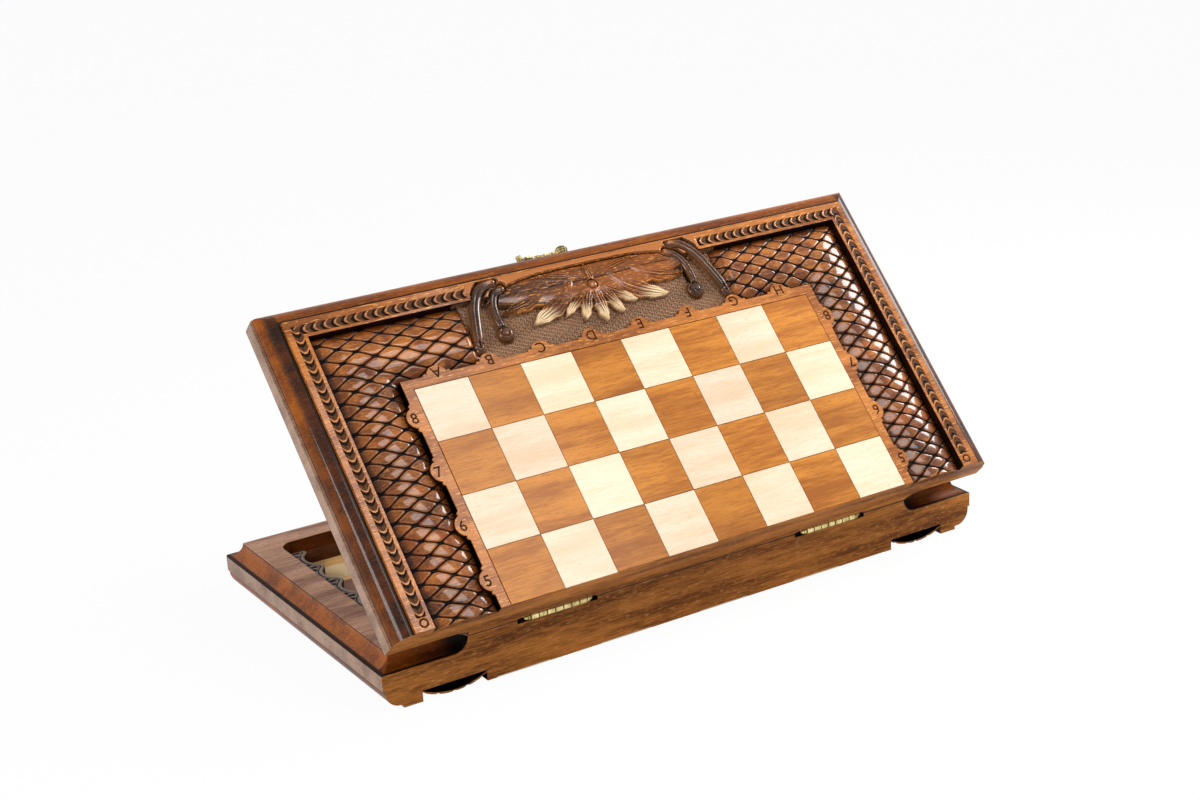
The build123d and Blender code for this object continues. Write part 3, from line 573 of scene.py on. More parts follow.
def net_lattice(side, box):
    """Points on the net's own two families of lines, over a box, and the quads between them."""
    width, height, x0, t0 = NET_LATTICES[side]
    corners = [(x, t) for x in box[:2] for t in box[2:]]
    p = [(x - x0) / width + (t - t0) / height for x, t in corners]
    q = [(x - x0) / width - (t - t0) / height for x, t in corners]
    axes = []
    for values in (p, q):
        whole = np.arange(math.floor(min(values)), math.ceil(max(values)))
        axes.append(np.append((whole[:, None] + np.array(NET_STEPS)).ravel(), whole[-1] + 1.0))
    p, q = np.meshgrid(*axes, indexing="ij")
    x, t = x0 + width * (p + q) / 2, t0 + height * (p - q) / 2
    aside, along = wander(x, t)
    x, t = x + aside, t + along
    faces = grid_faces(*p.shape)
    points = np.column_stack((x.ravel(), t.ravel()))
    low, high = points[faces].min(axis=1), points[faces].max(axis=1)
    near = ((high[:, 0] > box[0]) & (low[:, 0] < box[1]) & (high[:, 1] > box[2]) & (low[:, 1] < box[3]))
    return points, faces[near]


def net_surface(side):
    """Height of the net: a swell less the cuts.

    The swell is (1 - v^2)^0.8 across the band, where v is -1 at the plate and 1 at the outer wall,
    measured from the nearer of the two plate edges, so the two arms meet in a mitre. Each cut
    takes away (1 - d)^1.6, d being the distance to the nearest line over the cut's half width,
    and each pit a round cone. Pads are pillowed by the product of two sines.
    """
    width, height, x0, t0 = NET_LATTICES[side]
    spacing = width * height / math.hypot(width, height)

    def surface(x, t):
        u, w = abs(x) - PLATE, t - PLATE
        rim = np.maximum(u, w)
        v = clip(2 * rim / NET_WIDTH - 1, -1, 1)
        swell = (1 - v * v) ** 0.8
        end = ease(abs(x), CREST_END, CREST_END + 5)
        swell = swell * np.where(w > 0, 0.25 + 0.75 * end, 1)
        aside, along = wander(x, t)
        x, t = x - aside, t - along
        p = (x - x0) / width + (t - t0) / height
        q = (x - x0) / width - (t - t0) / height
        dp = abs(p - np.round(p)) * spacing
        dq = abs(q - np.round(q)) * spacing
        cut = clip(1 - np.minimum(dp, dq) / NET_CUT_HALF_WIDTH) ** 1.6
        pit = ease(np.hypot(dp, dq), NET_PIT_RADIUS, 1.5)
        near = np.minimum(dp, dq)
        # Painted highlight: a pale line beside each cut, where the pad's edge would catch the light.
        wear_and_glint = ease(near, 0.7, 1.1) * ease(near, 2.1, 1.2) * (1 - pit)
        pillow = np.sqrt(abs(np.sin(np.pi * p) * np.sin(np.pi * q)))
        deep = 0.45 + 0.55 * swell
        height_now = NET_FOOT + (NET_CROWN - NET_FOOT) * swell - NET_CUT * deep * (cut + 0.35 * pit)
        height_now = height_now + 0.35 * pillow * deep
        height_now = np.minimum(height_now, FACE - 0.05)
        # Darkening: the cuts and pits are partly stained and partly painted shade; along the outer wall and under
        # the plate's edge it is painted shadow.
        wall = ease(rim, NET_WIDTH - 7, NET_WIDTH - 0.5)
        foot = ease(rim, 9, 0.5)
        stain_and_shade = clip(1.2 * cut + pit + 0.75 * wall + 0.45 * foot)
        # Lighter pad crowns: partly rubbed wood, partly a painted highlight.
        wiped_and_highlight = clip(pillow * 1.3 - 0.2) * swell
        return height_now, {"stain_and_shade": stain_and_shade, "wiped_and_highlight": clip(wiped_and_highlight * (1 + 0.5 * (w > 0))),
                            "wear_and_glint": wear_and_glint * (0.3 + 0.7 * swell)}

    return surface


NET_FINISH = {half: net_finish(half) for half in HALVES}
for half in HALVES:
    for side, side_name in ((-1, "left"), (1, "right")):
        # Each arm is cut out of the lattice by its own straight lines, and the mitre parts the two.
        long_arm = ((side, 0, RECESS), (-side, 0, -PLATE), (0, -1, -NET_START), (0, 1, RECESS),
                    (-side, 1, 0))
        short_arm = ((0, 1, RECESS), (0, -1, -PLATE), (-side, 0, -CREST_END), (side, -1, 0))
        reach = sorted((side * PLATE, side * RECESS)) + [0, RECESS]
        points, faces = net_lattice(side, reach)
        points, faces = cut_to(points, faces, long_arm)
        carve(f"{half}_{side_name}_net", half, points, faces, net_surface(side), NET_FLOOR,
              NET_FINISH[half])
        reach = sorted((side * CREST_END, side * RECESS)) + [PLATE, RECESS]
        points, faces = net_lattice(side, reach)
        points, faces = cut_to(points, faces, short_arm)
        carve(f"{half}_{side_name}_net_corner", half, points, faces, net_surface(side), NET_FLOOR,
              NET_FINISH[half])


# The leaf band: a row of overlapping leaves, cut with a gouge into the flat border round the
# recess. It runs up one side, round the corner and along the edge as far as the crest, and starts
# at the hinge with one engraved ring.
BAND_INNER = 223.8
BAND_OUTER = 231.4
BAND_MIDDLE = (BAND_INNER + BAND_OUTER) / 2
BAND_HALF_WIDTH = (BAND_OUTER - BAND_INNER) / 2
BAND_END = 96.0
BAND_FLOOR = 35.2
BAND_STEP = 0.32
BAND_START = 10.5
LEAF_PITCH = 7.65
LEAF_SWEEP = 4.0
LEAF_DEPTH = 1.35
RING_PLACE = 5.6
RING_RADIUS = 2.7


def leaf_finish(half):
    finish = Finish(half + "_leaf_wood")
    place = half_place(finish, half)
    stain_and_shade = finish.add("Attribute", {}, output="Fac", attribute_name="stain_and_shade")
    wiped_and_highlight = finish.add("Attribute", {}, output="Fac", attribute_name="wiped_and_highlight")
    colour, fibre = wood(finish, place, (120, 62, 20), (188, 114, 50), (236, 170, 88), 0.6)
    # The scoops turn brown and the cuts black, partly stained and partly painted shade; the pale rim at each tip is
    # partly rubbed wood and partly a painted highlight.
    colour = finish.mix(finish.between(stain_and_shade, 0.05, 0.45), colour, srgb(84, 50, 26))
    colour = finish.mix(finish.between(stain_and_shade, 0.55, 0.95), colour, srgb(14, 7, 4))
    colour = finish.mix(finish.math("MULTIPLY", wiped_and_highlight, 0.4), colour, srgb(196, 142, 98))
    colour, gloss = hinge_side(finish, place, colour, 0.6)
    gloss = finish.math("MULTIPLY", gloss, finish.between(stain_and_shade, 0.5, 0.1))
    return varnish(finish, colour, fibre, gloss, 0.1, 0.48)


def leaf_surface(side):
    """Height of the band: a chain of leaves, each a scoop behind a thin rim that bends round its tip.

    s runs along the chain from the hinge and w across it, -1 to 1, and both turn the corner at
    its mitre. The leaves climb the right side and come down the left one. The tip of a leaf lies
    at whole pitches - sweep*w^2. Behind its rim the scoop is cut on either side of a midrib, and
    the next leaf is set off by a fine deep cut in front of its tip.
    """
    def surface(x, t):
        u, v = abs(x) - BAND_MIDDLE, t - BAND_MIDDLE
        along_side = t
        along_edge = BAND_MIDDLE * 2 - abs(x)
        at_edge = v > u
        s = np.where(at_edge, along_edge, along_side)
        w = np.where(at_edge, v, u) / BAND_HALF_WIDTH
        travel = (side * (s - BAND_START) + LEAF_SWEEP * w * w) / LEAF_PITCH
        back = 1 - (travel - np.floor(travel))
        tail = ease(abs(w), 0.98, 0.8)
        lip = ease(back, 0.0, 0.05) * ease(back, 0.25, 0.13)
        gouge = ease(back, 0.13, 0.34)
        cut = ease(back, 0.66, 0.82)
        midrib = ease(abs(w), 0.24, 0.06) * gouge * ease(back, 0.9, 0.7)
        on = ease(s, BAND_START - 1, BAND_START) * tail
        on = on * ease(abs(x), BAND_END + 1, BAND_END + 4)
        dip = LEAF_DEPTH * (0.62 * gouge + 0.38 * cut - 0.2 * midrib)
        ring = abs(np.hypot(u, t - RING_PLACE) - RING_RADIUS)
        groove = ease(ring, 0.75, 0.1)
        height = FACE - 0.02 - on * dip - 0.9 * groove
        stain_and_shade = clip(on * (0.5 * gouge + 0.5 * cut + 0.22 * midrib) + 0.9 * groove)
        return height, {"stain_and_shade": stain_and_shade, "wiped_and_highlight": on * lip}

    return surface


LEAF_FINISH = {half: leaf_finish(half) for half in HALVES}
for half in HALVES:
    for side, side_name in ((-1, "left"), (1, "right")):
        arms = (("side", (BAND_INNER, BAND_OUTER, NET_START, BAND_OUTER), ((-side, 1, 0),)),
                ("edge", (BAND_END, BAND_OUTER, BAND_INNER, BAND_OUTER), ((side, -1, 0),)))
        for arm, (inner, outer, near, far), mitre in arms:
            across = np.linspace(side * inner, side * outer, int((outer - inner) / BAND_STEP) + 2)
            up = np.linspace(near, far, int((far - near) / BAND_STEP) + 2)
            x, t = np.meshgrid(across, up, indexing="ij")
            points = np.column_stack((x.ravel(), t.ravel()))
            points, faces = cut_to(points, grid_faces(*x.shape), mitre)
            carve(f"{half}_{side_name}_{arm}_leaf_band", half, points, faces, leaf_surface(side),
                  BAND_FLOOR, LEAF_FINISH[half])


# The chess plate: a panel of plain beech with a scalloped edge, one rounded tab for each file and
# rank, with its letter or figure cut through a thin stained face. The squares lie in its middle.
PLATE_FOOT = 29.3
PLATE_EASE = 0.3
FIELD_EDGE = 165.85
TAB_RADIUS = 8.1
TAB_INSET = 1.6
SHOULDER_RADIUS = 1.7
SHOULDER_PLACE = 9.0
LETTER_SIZE = 11.2
LETTER_INSET = 0.9
FILES = "ABCDEFGH"


def tab_outline():
    """Offset along and out from a straight edge of one tab: a part circle between two small beads."""
    low = math.asin(TAB_INSET / TAB_RADIUS)
    turn = np.linspace(low + 0.16, math.pi - low - 0.16, 21)
    along, out = -TAB_RADIUS * np.cos(turn), TAB_RADIUS * np.sin(turn) - TAB_INSET
    bead = np.linspace(math.pi, 0.35, 6)
    left = np.column_stack((SHOULDER_RADIUS * np.cos(bead) - SHOULDER_PLACE,
                            SHOULDER_RADIUS * np.sin(bead)))
    right = left[::-1] * (-1, 1)
    return np.vstack((left, np.column_stack((along, out)), right))


def plate_outline():
    """Outline of the plate's face: up the left side, along the top, down the right, and back."""
    tab = tab_outline()
    places = SQUARE * (np.arange(8) + 0.5) - FIELD
    ranks = SQUARE * (np.arange(4) + 0.5)
    left = [np.column_stack((-PLATE - tab[:, 1], rank + tab[:, 0])) for rank in ranks]
    top = [np.column_stack((place + tab[:, 0], PLATE + tab[:, 1])) for place in places]
    right = [np.column_stack((PLATE + tab[:, 1], rank - tab[:, 0])) for rank in ranks[::-1]]
    corners = [[(-FIELD_EDGE, 0)], [(-PLATE, 0)], *left, [(-PLATE, PLATE)], *top,
               [(PLATE, PLATE)], *right, [(PLATE, 0)], [(FIELD_EDGE, 0)],
               [(FIELD_EDGE, FIELD_EDGE)], [(-FIELD_EDGE, FIELD_EDGE)]]
    return np.vstack(corners)


def letter_loops(letter):
    """Outlines of a letter in its own plane, centred, as loops of points."""
    data = bpy.data.curves.new("letter", "FONT")
    data.body = letter
    data.size = LETTER_SIZE
    data.align_x = "CENTER"
    data.fill_mode = "NONE"
    data.resolution_u = 4
    thing = bpy.data.objects.new("letter", data)
    bpy.context.collection.objects.link(thing)
    mesh = bpy.data.meshes.new_from_object(thing.evaluated_get(bpy.context.evaluated_depsgraph_get()))
    following = {}
    for a, b in (edge.vertices for edge in mesh.edges):
        following.setdefault(a, []).append(b)
        following.setdefault(b, []).append(a)
    loops = []
    while following:
        start = next(iter(following))
        loop, point = [start], start
        while True:
            ahead = [p for p in following.pop(point) if p in following]
            if not ahead:
                break
            point = ahead[0]
            loop.append(point)
        loops.append(np.array([mesh.vertices[i].co[:2] for i in loop]))
    both = np.vstack(loops)
    middle = (both.min(axis=0) + both.max(axis=0)) / 2
    bpy.data.objects.remove(thing)
    bpy.data.curves.remove(data)
    bpy.data.meshes.remove(mesh)
    return [loop - middle for loop in loops]


def plate_letters(half):
    """Loops of every letter and figure of a half, in place, each leaning a little as cut by hand.

    With white's side below, each file keeps its letter over both halves, upright on white's edge and
    on its head on the other, and the figures read upright on the left and upside down on the right.
    The lower half is seated as a mirror image, so its shapes are turned over to read the right way.
    """
    loops = []
    out = PLATE - LETTER_INSET + TAB_RADIUS / 2 - 2.2
    places = SQUARE * (np.arange(8) + 0.5) - FIELD
    over = 1 if half == "upper" else -1
    for letter, place in zip(FILES, places):
        lean = 0.00015 * (place + 3)
        shapes = [-over * loop * (1, over) for loop in letter_loops(letter)]
        loops += [loop @ ((1, lean), (-lean, 1)) + (place, out + lean) for loop in shapes]
    for index in range(4):
        rank = SQUARE * (index + 0.5)
        figure = str(5 + index if half == "upper" else 4 - index)
        lean = 0.01 * (index + 1)
        turn = np.array(((1, lean), (-lean, 1)))
        shapes = [loop * (1, over) for loop in letter_loops(figure)]
        loops += [loop @ turn + (-out, rank + lean) for loop in shapes]
        loops += [-loop @ turn + (out, rank - lean) for loop in shapes]
    return loops


def plate_finish(half):
    """Mid-brown stained beech, darkest in the cut letters and down the edge, partly stained and partly painted
    shade.
    """
    finish = Finish(half + "_plate_wood")
    place = half_place(finish, half)
    x, t, n = split(finish, place)
    colour, fibre = wood(finish, place, (128, 68, 22), (190, 116, 50), (232, 166, 84), 0.6)
    # Below the face the wood goes dark: partly stained, partly painted shade in the letters and the gap round the
    # plate.
    colour = finish.mix(finish.between(n, FACE - 0.3, FACE - 0.75), colour, srgb(24, 11, 5))
    colour, gloss = hinge_side(finish, place, colour, 0.4)
    return varnish(finish, colour, fibre, gloss, 0.15, 0.5)


def loop_area(loop):
    """Signed area of a loop of points, positive if it turns left."""
    x, t = loop.T
    return np.sum(x * np.roll(t, -1) - np.roll(x, -1) * t) / 2


def within(points, loops):
    """Whether each point is in the wood: a ray along x from it crosses the loops an odd number of times."""
    crossings = np.zeros(len(points), int)
    for loop in loops:
        start, end = loop, np.roll(loop, -1, axis=0)
        low, high = start[:, 1], end[:, 1]
        t = points[:, 1, None]
        spans = (low > t) != (high > t)
        share = (t - low) / np.where(high == low, 1, high - low)
        crossings += (spans & (points[:, 0, None] < start[:, 0] + share * (end - start)[:, 0])).sum(axis=1)
    return crossings % 2 == 1


def drawn_in(loop):
    """The loop moved by the width of the eased edge towards the wood on its left."""
    step = np.roll(loop, -1, axis=0) - loop
    step = step / np.maximum(np.hypot(*step.T), 1e-6)[:, None]
    mean = step + np.roll(step, 1, axis=0)
    mean = mean / np.maximum(np.hypot(*mean.T), 0.35)[:, None]
    return loop + PLATE_EASE * np.column_stack((-mean[:, 1], mean[:, 0]))


for half in HALVES:
    outline = plate_outline()
    loops = [outline if loop_area(outline) > 0 else outline[::-1]]
    letters = plate_letters(half)
    for index, loop in enumerate(letters):
        # A counter, such as the inside of an A, is wood again, so its loop turns the other way.
        island = within(loop[:1], letters[:index] + letters[index + 1:])[0]
        loops.append(loop if (loop_area(loop) > 0) == island else loop[::-1])
    outer = np.vstack(loops)
    inner = np.vstack([drawn_in(loop) for loop in loops])
    starts = np.cumsum([0] + [len(loop) for loop in loops])
    following = np.arange(len(outer)) + 1
    following[starts[1:] - 1] = starts[:-1]
    rim = [(int(a), int(b)) for a, b in enumerate(following)]
    cut = delaunay_2d_cdt([Vector(point) for point in outer], rim, [], 0, 1e-6)
    origin = np.array([source[0] if source else -1 for source in cut[3]])
    assert origin.min() >= 0, "the plate's outlines cross"
    triangles = origin[np.array([face for face in cut[2]])]
    triangles = triangles[within(outer[triangles].mean(axis=1), loops)]
    size = len(outer)
    levels = [np.column_stack((inner, np.full(size, FACE))),
              np.column_stack((outer, np.full(size, FACE - PLATE_EASE))),
              np.column_stack((outer, np.full(size, PLATE_FOOT)))]
    faces = triangles.tolist() + (triangles[:, ::-1] + 2 * size).tolist()
    for above, below in ((0, size), (size, 2 * size)):
        faces += [[b + above, a + above, a + below, b + below] for a, b in rim]
    build(f"{half}_plate_face", half, np.vstack(levels), faces, {}, plate_finish(half), 0.5)


# The crest: a carved ornament in the middle of the latch side. A long lens-shaped banner lies along
# the border with a leafy palmette hung from its middle, and a pair of scrolls curls down at each
# end. The ground round it is punched to a fine matt texture. It is cut from the same panel.
CREST_STEP = 0.4
CREST_REACH = 111.6
CREST_NEAR = 173.5
CREST_TOP = 234.5
CREST_SHELF = 96.8
CREST_FLOOR = 28.8
GROUND = 29.8
BORDER_INNER = 221.6
BANNER_HALF = 87.0
OUTER_SCROLL = ((76, 233), (84, 230.5), (91, 224), (96, 215), (99, 206), (101.5, 198), (103.5, 190),
                (104.5, 184))
INNER_SCROLL = ((70, 226.5), (76.5, 223), (80.5, 216.5), (82.2, 208), (82, 200), (81, 193))
SCROLL_BALL = (80.5, 192.0, 7.0)
SCROLL_DROP = (104.3, 187.5, 5.2)


def distance_to(line, x, t):
    """Distance from a line of straight runs, and the share of the line run by its nearest point."""
    line = np.array(line, float)
    runs = np.hypot(*np.diff(line, axis=0).T)
    done = np.concatenate(([0], np.cumsum(runs))) / runs.sum()
    best = np.full(x.shape, 1e9)
    share = np.zeros(x.shape)
    for index, (start, end) in enumerate(zip(line[:-1], line[1:])):
        step = end - start
        along = clip(((x - start[0]) * step[0] + (t - start[1]) * step[1]) / (step @ step))
        away = np.hypot(x - start[0] - along * step[0], t - start[1] - along * step[1])
        nearer = away < best
        best = np.where(nearer, away, best)
        share = np.where(nearer, done[index] + along * (done[index + 1] - done[index]), share)
    return best, share


def smooth_line(points, count=40):
    """Points of a Catmull-Rom curve through the given ones."""
    points = np.array(points, float)
    ends = np.vstack((2 * points[0] - points[1], points, 2 * points[-1] - points[-2]))
    out = []
    for a, b, c, d in zip(ends[:-3], ends[1:-2], ends[2:-1], ends[3:]):
        u = np.linspace(0, 1, count // len(points) + 1)[:-1, None]
        out.append(0.5 * (2 * b + (c - a) * u + (2 * a - 5 * b + 4 * c - d) * u ** 2
                          + (3 * b - a - 3 * c + d) * u ** 3))
    return np.vstack(out + [points[-1:]])


def leaf_shape(x, t, base, tip, width, low, high, bend=0.0, teeth=4):
    """Height of one carved leaf, or 0 outside it, and the share of its length.

    a runs from base to tip and b across, -1 to 1 over the width sin(pi*a^0.75)^0.7, which shallow
    teeth wave. The leaf is a crown sqrt(1 - b^2) with gouge lines that fan out towards its tip.
    """
    axis = np.array(tip, float) - base
    length = math.hypot(*axis)
    a = ((x - base[0]) * axis[0] + (t - base[1]) * axis[1]) / length ** 2
    away = ((t - base[1]) * axis[0] - (x - base[0]) * axis[1]) / length
    away = away - bend * np.sin(np.pi * clip(a))
    inside = (a > 0) & (a < 1)
    span = np.sin(np.pi * clip(a, 0.0001, 0.9999) ** 0.75) ** 0.7 * width / 2
    span = span * (1 + 0.1 * ease(a, 0.3, 0.6) * np.sin(2 * np.pi * teeth * a))
    b = away / np.maximum(span, 0.05)
    inside &= abs(b) < 1
    crown = np.sqrt(clip(1 - b * b))
    gouge = 0.5 + 0.5 * np.cos(2 * np.pi * 2.4 * b)
    gouge = ease(gouge, 0.55, 0.95) * ease(abs(b), 0.95, 0.8) * ease(a, 0.15, 0.45)
    shape = low + (high - low) * crown - 0.75 * gouge
    return np.where(inside, shape, 0), np.where(inside, clip(a), 0)


def crest_field(x, t):
    """Height of the crest at every grid point, and how far its tips are wiped back to pale wood."""
    ax = abs(x)
    jitter = 0.5 * np.sin(0.9 * x + 1.7 * t) + 0.4 * np.sin(1.3 * t - 0.7 * x)
    punched = np.sin(2 * np.pi * (x + 0.3 * t + jitter) / 2.4) * np.sin(2 * np.pi * (t - 0.3 * x) / 2.2)
    height = GROUND + 0.1 + 0.45 * punched
    height = np.where(t > BORDER_INNER, FACE - 0.03, height)
    # The banner lies between two curves that meet at its ends.
    upper = 231.0 - 14.0 * (ax / BANNER_HALF) ** 4
    lower = 202.6 + 14.4 * (ax / BANNER_HALF) ** 2
    v = (t - lower) / np.maximum(upper - lower, 0.01)
    on = (v > 0) & (v < 1) & (ax < BANNER_HALF)
    banner = 34.3 + 1.7 * np.sqrt(clip(4 * v * (1 - v)))
    score = abs(t - (lower + (upper - lower) * 0.56))
    banner = banner - 0.7 * ease(score, 0.8, 0.15) * ease(ax, 76, 66)
    height = np.where(on, banner, height)
    near_edge = abs(t - upper) * (ax < BANNER_HALF)
    height = height - 1.3 * ease(near_edge, 1.3, 0.3) * (t >= upper) * (ax < BANNER_HALF + 1)
    pale = np.zeros_like(x)
    leaves = (((6, 220.5), (46, 228.5), 8.5, 34.4, 36.6, 1.2), ((34, 221.5), (76, 207), 12.5, 33.5, 36.3, -2.5),
              ((15, 219.5), (57, 193.5), 15.5, 33.2, 36.5, -3.0), ((2, 214.5), (30, 194), 10, 33.3, 36.2, 1.0),
              ((1.5, 215), (16, 187.5), 10.5, 33.2, 36.5, 1.0), ((0, 216.5), (0, 183.5), 11.5, 33.4, 36.9, 0),
              ((0, 214), (0, 231.5), 9.0, 34.0, 36.9, 0))
    for base, tip, width, low, high, bend in leaves:
        shape, share = leaf_shape(ax, t, np.array(base, float), tip, width, low, high, bend)
        higher = shape > height
        height = np.where(higher, shape, height)
        drop = ease(share, 0.5, 0.85) * (t < 203)
        pale = np.where(higher, drop, pale * (shape <= 0))
    bud = np.hypot(ax, t - 213.5)
    dome = 34.6 + 2.3 * np.sqrt(clip(1 - (bud / 4.2) ** 2))
    height = np.where(bud < 4.2, dome, height)
    # Each scroll is a rounded strand with a groove along its middle.
    for line, wide, narrow, crown in ((INNER_SCROLL, 3.6, 3.2, 36.0), (OUTER_SCROLL, 4.6, 3.9, 36.9)):
        away, share = distance_to(smooth_line(line), ax, t)
        reach = wide + (narrow - wide) * share
        strand = crown - 3.0 * (1 - np.sqrt(clip(1 - (away / reach) ** 2)))
        strand = strand - 0.9 * ease(away, 1.1, 0.2) * ease(share, 0.02, 0.2) * ease(share, 1.0, 0.9)
        strand = strand - 1.6 * ease(share, 0.82, 1.0)
        moat = ease(away, reach + 1.4, reach) * (t > BORDER_INNER)
        height = np.where(away < reach, strand, height - 1.2 * moat * (away >= reach))
    x0, t0, radius = SCROLL_BALL
    away = np.hypot(ax - x0, t - t0)
    turn = np.arctan2(t - t0, ax - x0)
    ball = 30.6 + 5.8 * np.sqrt(clip(1 - (away / radius) ** 2))
    spiral = abs(away - (1.6 + 0.62 * (turn + np.pi)))
    ball = ball - 0.9 * ease(spiral, 0.9, 0.15) * ease(away, radius, radius - 1.2)
    height = np.where((away < radius) & (ball > height - 1.2), ball, height)
    x0, t0, radius = SCROLL_DROP
    away = np.hypot((ax - x0) * 1.15, (t - t0) * 0.8)
    drop = 31.0 + 4.6 * np.sqrt(clip(1 - (away / radius) ** 2))
    drop = drop - 1.1 * ease(away, 2.6, 1.2)
    height = np.where((away < radius) & (drop > height - 0.8), drop, height)
    return np.minimum(height, FACE - 0.03), pale


def blurred(field, reach):
    """Mean of a grid over a square of reach cells each way, from its running sums."""
    size = 2 * reach + 1
    padded = np.pad(field, reach, mode="edge")
    sums = np.pad(np.cumsum(np.cumsum(padded, 0), 1), ((1, 0), (1, 0)))
    whole = sums[size:, size:] - sums[:-size, size:] - sums[size:, :-size] + sums[:-size, :-size]
    return whole / size ** 2


def crest_finish(half):
    """The crest's wood: brown, black-brown in the hollows, partly pooled stains and partly painted shade, gold on
    ridges, partly rubbed wood and partly a painted highlight, pale at tips.
    """
    finish = Finish(half + "_crest_wood")
    place = half_place(finish, half)
    stain_and_shade = finish.add("Attribute", {}, output="Fac", attribute_name="stain_and_shade")
    wiped_and_highlight = finish.add("Attribute", {}, output="Fac", attribute_name="wiped_and_highlight")
    pale = finish.add("Attribute", {}, output="Fac", attribute_name="pale")
    matt = finish.add("Attribute", {}, output="Fac", attribute_name="matt")
    colour, fibre = wood(finish, place, (54, 23, 2), (136, 70, 8), (228, 150, 56), 0.7)
    dark, _ = wood(finish, place, (34, 15, 4), (84, 44, 12), (150, 90, 34), 0.4)
    x, t, n = split(finish, place)
    colour = finish.mix(finish.between(x, 66, 76), colour, dark)
    colour = finish.mix(finish.between(n, FACE - 0.25, FACE - 0.1), colour, srgb(168, 98, 38))
    colour = finish.mix(wiped_and_highlight, colour, srgb(214, 140, 60))
    colour = finish.mix(pale, colour, srgb(248, 216, 170))
    colour = finish.mix(matt, colour, srgb(168, 128, 98))
    colour = finish.mix(stain_and_shade, colour, srgb(16, 8, 4))
    bump = finish.add("Bump", {"Height": fibre, "Strength": 0.35, "Distance": 0.00012})
    dull = finish.math("MAXIMUM", matt, finish.math("MULTIPLY", stain_and_shade, 0.85))
    glossy = finish.add("MapRange", {0: dull, 3: 0.8, 4: 0.05})
    return finish.surface(Base__Color=colour, Roughness=0.45, Normal=bump, Coat__Weight=glossy, Coat__IOR=1.36,
                          Coat__Roughness=0.08, Specular__IOR__Level=0.08)


for half in HALVES:
    finish = crest_finish(half)
    for side, side_name in ((-1, "left"), (1, "right")):
        across = np.linspace(0, side * CREST_REACH, int(CREST_REACH / CREST_STEP) + 1)
        up = np.linspace(CREST_NEAR, CREST_TOP, int((CREST_TOP - CREST_NEAR) / CREST_STEP) + 1)
        x, t = np.meshgrid(across, up, indexing="ij")
        height, pale = crest_field(x, t)
        # Hollows are darkened by how far a point lies below its surroundings, partly pooled stains and partly
        # painted shade; ridges are lightened the same way, partly rubbed wood and partly a painted highlight.
        hollow = blurred(height, 3) - height
        stain_and_shade = clip(1.5 * clip(hollow - 0.07) + 0.9 * clip((blurred(height, 7) - height - 0.3) / 3))
        matt = ((height < GROUND + 0.75) & (t < BORDER_INNER)).astype(float)
        wiped_and_highlight = clip((-hollow - 0.2) * 1.4) * (1 - pale) * (height < FACE - 0.2)
        wiped_and_highlight = wiped_and_highlight * (0.6 - 0.5 * (abs(x) > 66)) * (1 - matt)
        stain_and_shade = np.where(matt > 0, 0.85 * ease(height, GROUND + 0.3, GROUND - 0.2), stain_and_shade)
        values = {"stain_and_shade": stain_and_shade.ravel(), "pale": (pale * (1 - stain_and_shade)).ravel(),
                  "wiped_and_highlight": wiped_and_highlight.ravel(), "matt": matt.ravel()}
        points = np.column_stack((x.ravel(), t.ravel()))
        faces = grid_faces(*x.shape)
        middle = points[faces].mean(axis=1)
        faces = faces[(abs(middle[:, 0]) < CREST_SHELF) | (middle[:, 1] < BORDER_INNER)]
        used, faces = np.unique(faces, return_inverse=True)
        faces = faces.reshape(-1, 4)
        kept = {key: value[used] for key, value in values.items()}
        level = height.ravel()[used]
        carve(f"{half}_{side_name}_crest", half, points[used], faces, lambda x, t: (level, kept),
              CREST_FLOOR, finish)


# The point rails: one at each end of a tray, scalloped so that every pocket holds a column of
# checkers. The top of each is gouged with a fan of leaves on every cusp, dark in them partly from
# stains left there and partly as painted shade. They are cut from beech and glued to the end walls.
RAIL_WALL = 220.3
RAIL_LIP = 203.5
RAIL_NEAR = 26.85
RAIL_FAR = 212.65
RAIL_TOP = 6.5
RAIL_FOOT = 21.7
RAIL_CORNER = 10.8
TRAY_FAR = 220.3
TRAY_NEAR = 19.2
POCKET_PITCH = 30.3
POCKET_RADIUS = 15.02
POCKET_DEPTH = 7.0
CUSP_ROUND = 2.6
RAIL_COLUMNS = 44
RAIL_ROWS = 460


def rail_lip(t):
    """Distance of the scalloped lip from the middle of the board: circle arcs between the cusps."""
    along = (t - (RAIL_NEAR + RAIL_FAR) / 2) / POCKET_PITCH
    along = (along - np.floor(along) - 0.5) * POCKET_PITCH
    centre = RAIL_LIP + POCKET_DEPTH - POCKET_RADIUS
    reach = centre + np.sqrt(clip(POCKET_RADIUS ** 2 - along ** 2, 0, 1e9))
    edge = RAIL_LIP + 0.0 * t
    # The deeper of the pocket and the straight lip, with the corner between them eased.
    return 0.5 * (reach + edge + np.sqrt((reach - edge) ** 2 + CUSP_ROUND ** 2)) - 0.15 * CUSP_ROUND


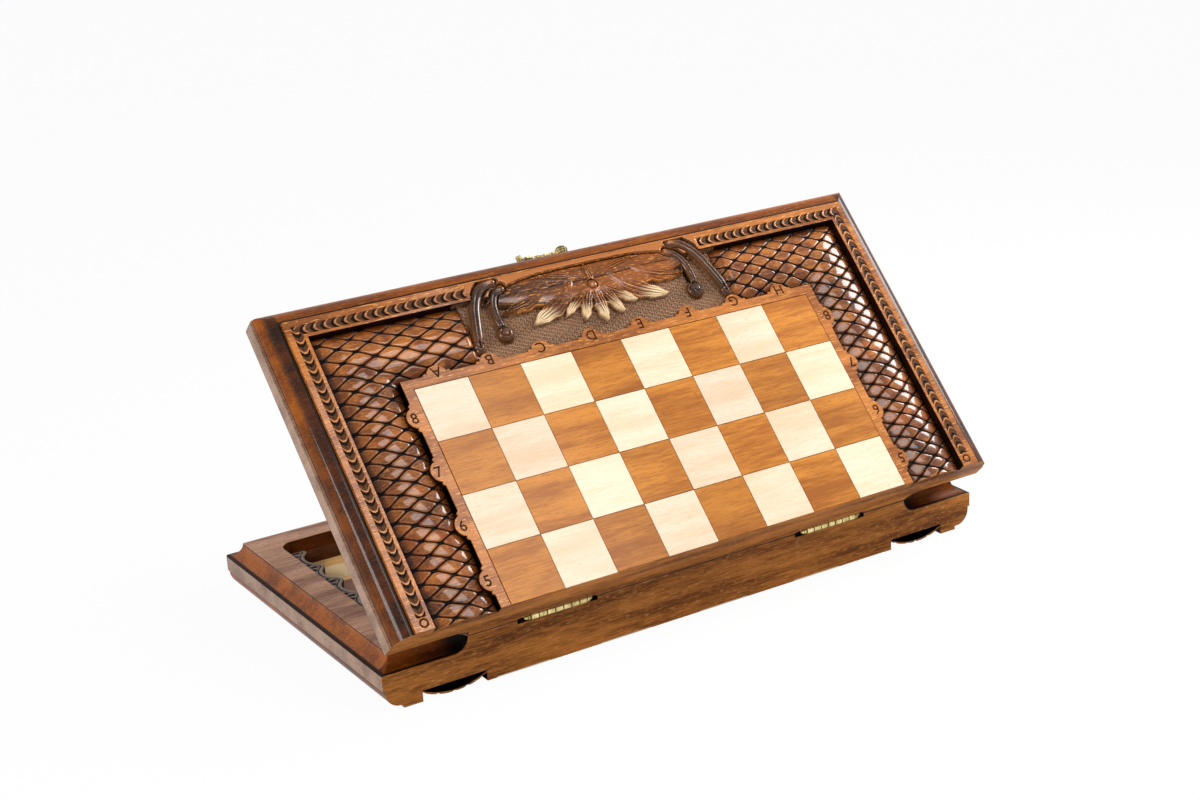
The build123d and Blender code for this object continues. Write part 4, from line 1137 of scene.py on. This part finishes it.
def rail_surface(x, t):
    """Height of a rail's top, down from the seam plane: flat, with a fan of gouges on each cusp."""
    depth = np.abs(x) - rail_lip(t)
    along = (t - (RAIL_NEAR + RAIL_FAR) / 2) / POCKET_PITCH
    u = (along - np.round(along)) * POCKET_PITCH
    w = RAIL_WALL + 1.0 - np.abs(x)
    angle, away = np.arctan2(u, w), np.hypot(u, w)
    blade = 0.5 + 0.5 * np.cos(angle * 11)
    fan = ease(blade, 0.3, 0.7) * ease(away, 3.4, 4.4) * ease(away, 13.4, 12.2)
    fan = fan * ease(abs(angle), 1.45, 1.3) * ease(depth, 4.4, 5.0)
    heart = ease(away, 2.6, 1.6)
    groove = ease(abs(depth - 3.4), 0.65, 0.2) * ease(w, 1.6, 2.2)
    cut = clip(fan + heart + 0.9 * groove)
    top = RAIL_TOP + 0.9 * cut + 0.5 * ease(depth, 0.6, 0.0)
    return top, {"stain_and_shade": cut}


def rail_finish(half):
    finish = Finish(half + "_rail_wood")
    place = half_place(finish, half)
    stain_and_shade = finish.add("Attribute", {}, output="Fac", attribute_name="stain_and_shade")
    colour, fibre = wood(finish, place, (92, 76, 64), (140, 120, 106), (160, 136, 118), 0.3)
    x, t, n = split(finish, place)
    deep, _ = wood(finish, place, (12, 6, 3), (34, 17, 8), (60, 32, 16), 0.3)
    # Painted shade: the pocket walls below the rail's top are near black.
    wall = finish.between(n, RAIL_TOP + 0.5, RAIL_TOP + 1.2)
    colour = finish.mix(wall, colour, deep)
    colour = finish.mix(stain_and_shade, colour, srgb(16, 8, 5))
    gloss = finish.add("MapRange", {0: finish.math("MAXIMUM", wall, stain_and_shade), 3: 0.45, 4: 0.04})
    return varnish(finish, colour, fibre, gloss, 0.2, 0.45)


for half in HALVES:
    finish = rail_finish(half)
    for side, side_name in ((-1, "left"), (1, "right")):
        t, share = np.meshgrid(np.linspace(RAIL_NEAR, RAIL_FAR, RAIL_ROWS),
                               np.linspace(0, 1, RAIL_COLUMNS), indexing="ij")
        # The rounded corners of the tray cut the ends of the wall side back.
        over = np.maximum(t - (TRAY_FAR - RAIL_CORNER), (TRAY_NEAR + RAIL_CORNER) - t)
        drop = RAIL_CORNER - np.sqrt(clip(RAIL_CORNER ** 2 - clip(over, 0, 99) ** 2, 0, 1e9))
        wall = RAIL_WALL - drop
        lip = np.minimum(rail_lip(t), wall - 3.0)
        x = side * (wall + (lip - wall) * share)
        points = np.column_stack((x.ravel(), t.ravel()))
        name = f"{half}_{side_name}_rail"
        carve(name + "_carved", half, points, grid_faces(*x.shape), rail_surface, RAIL_FOOT,
              finish)
        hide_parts(name)
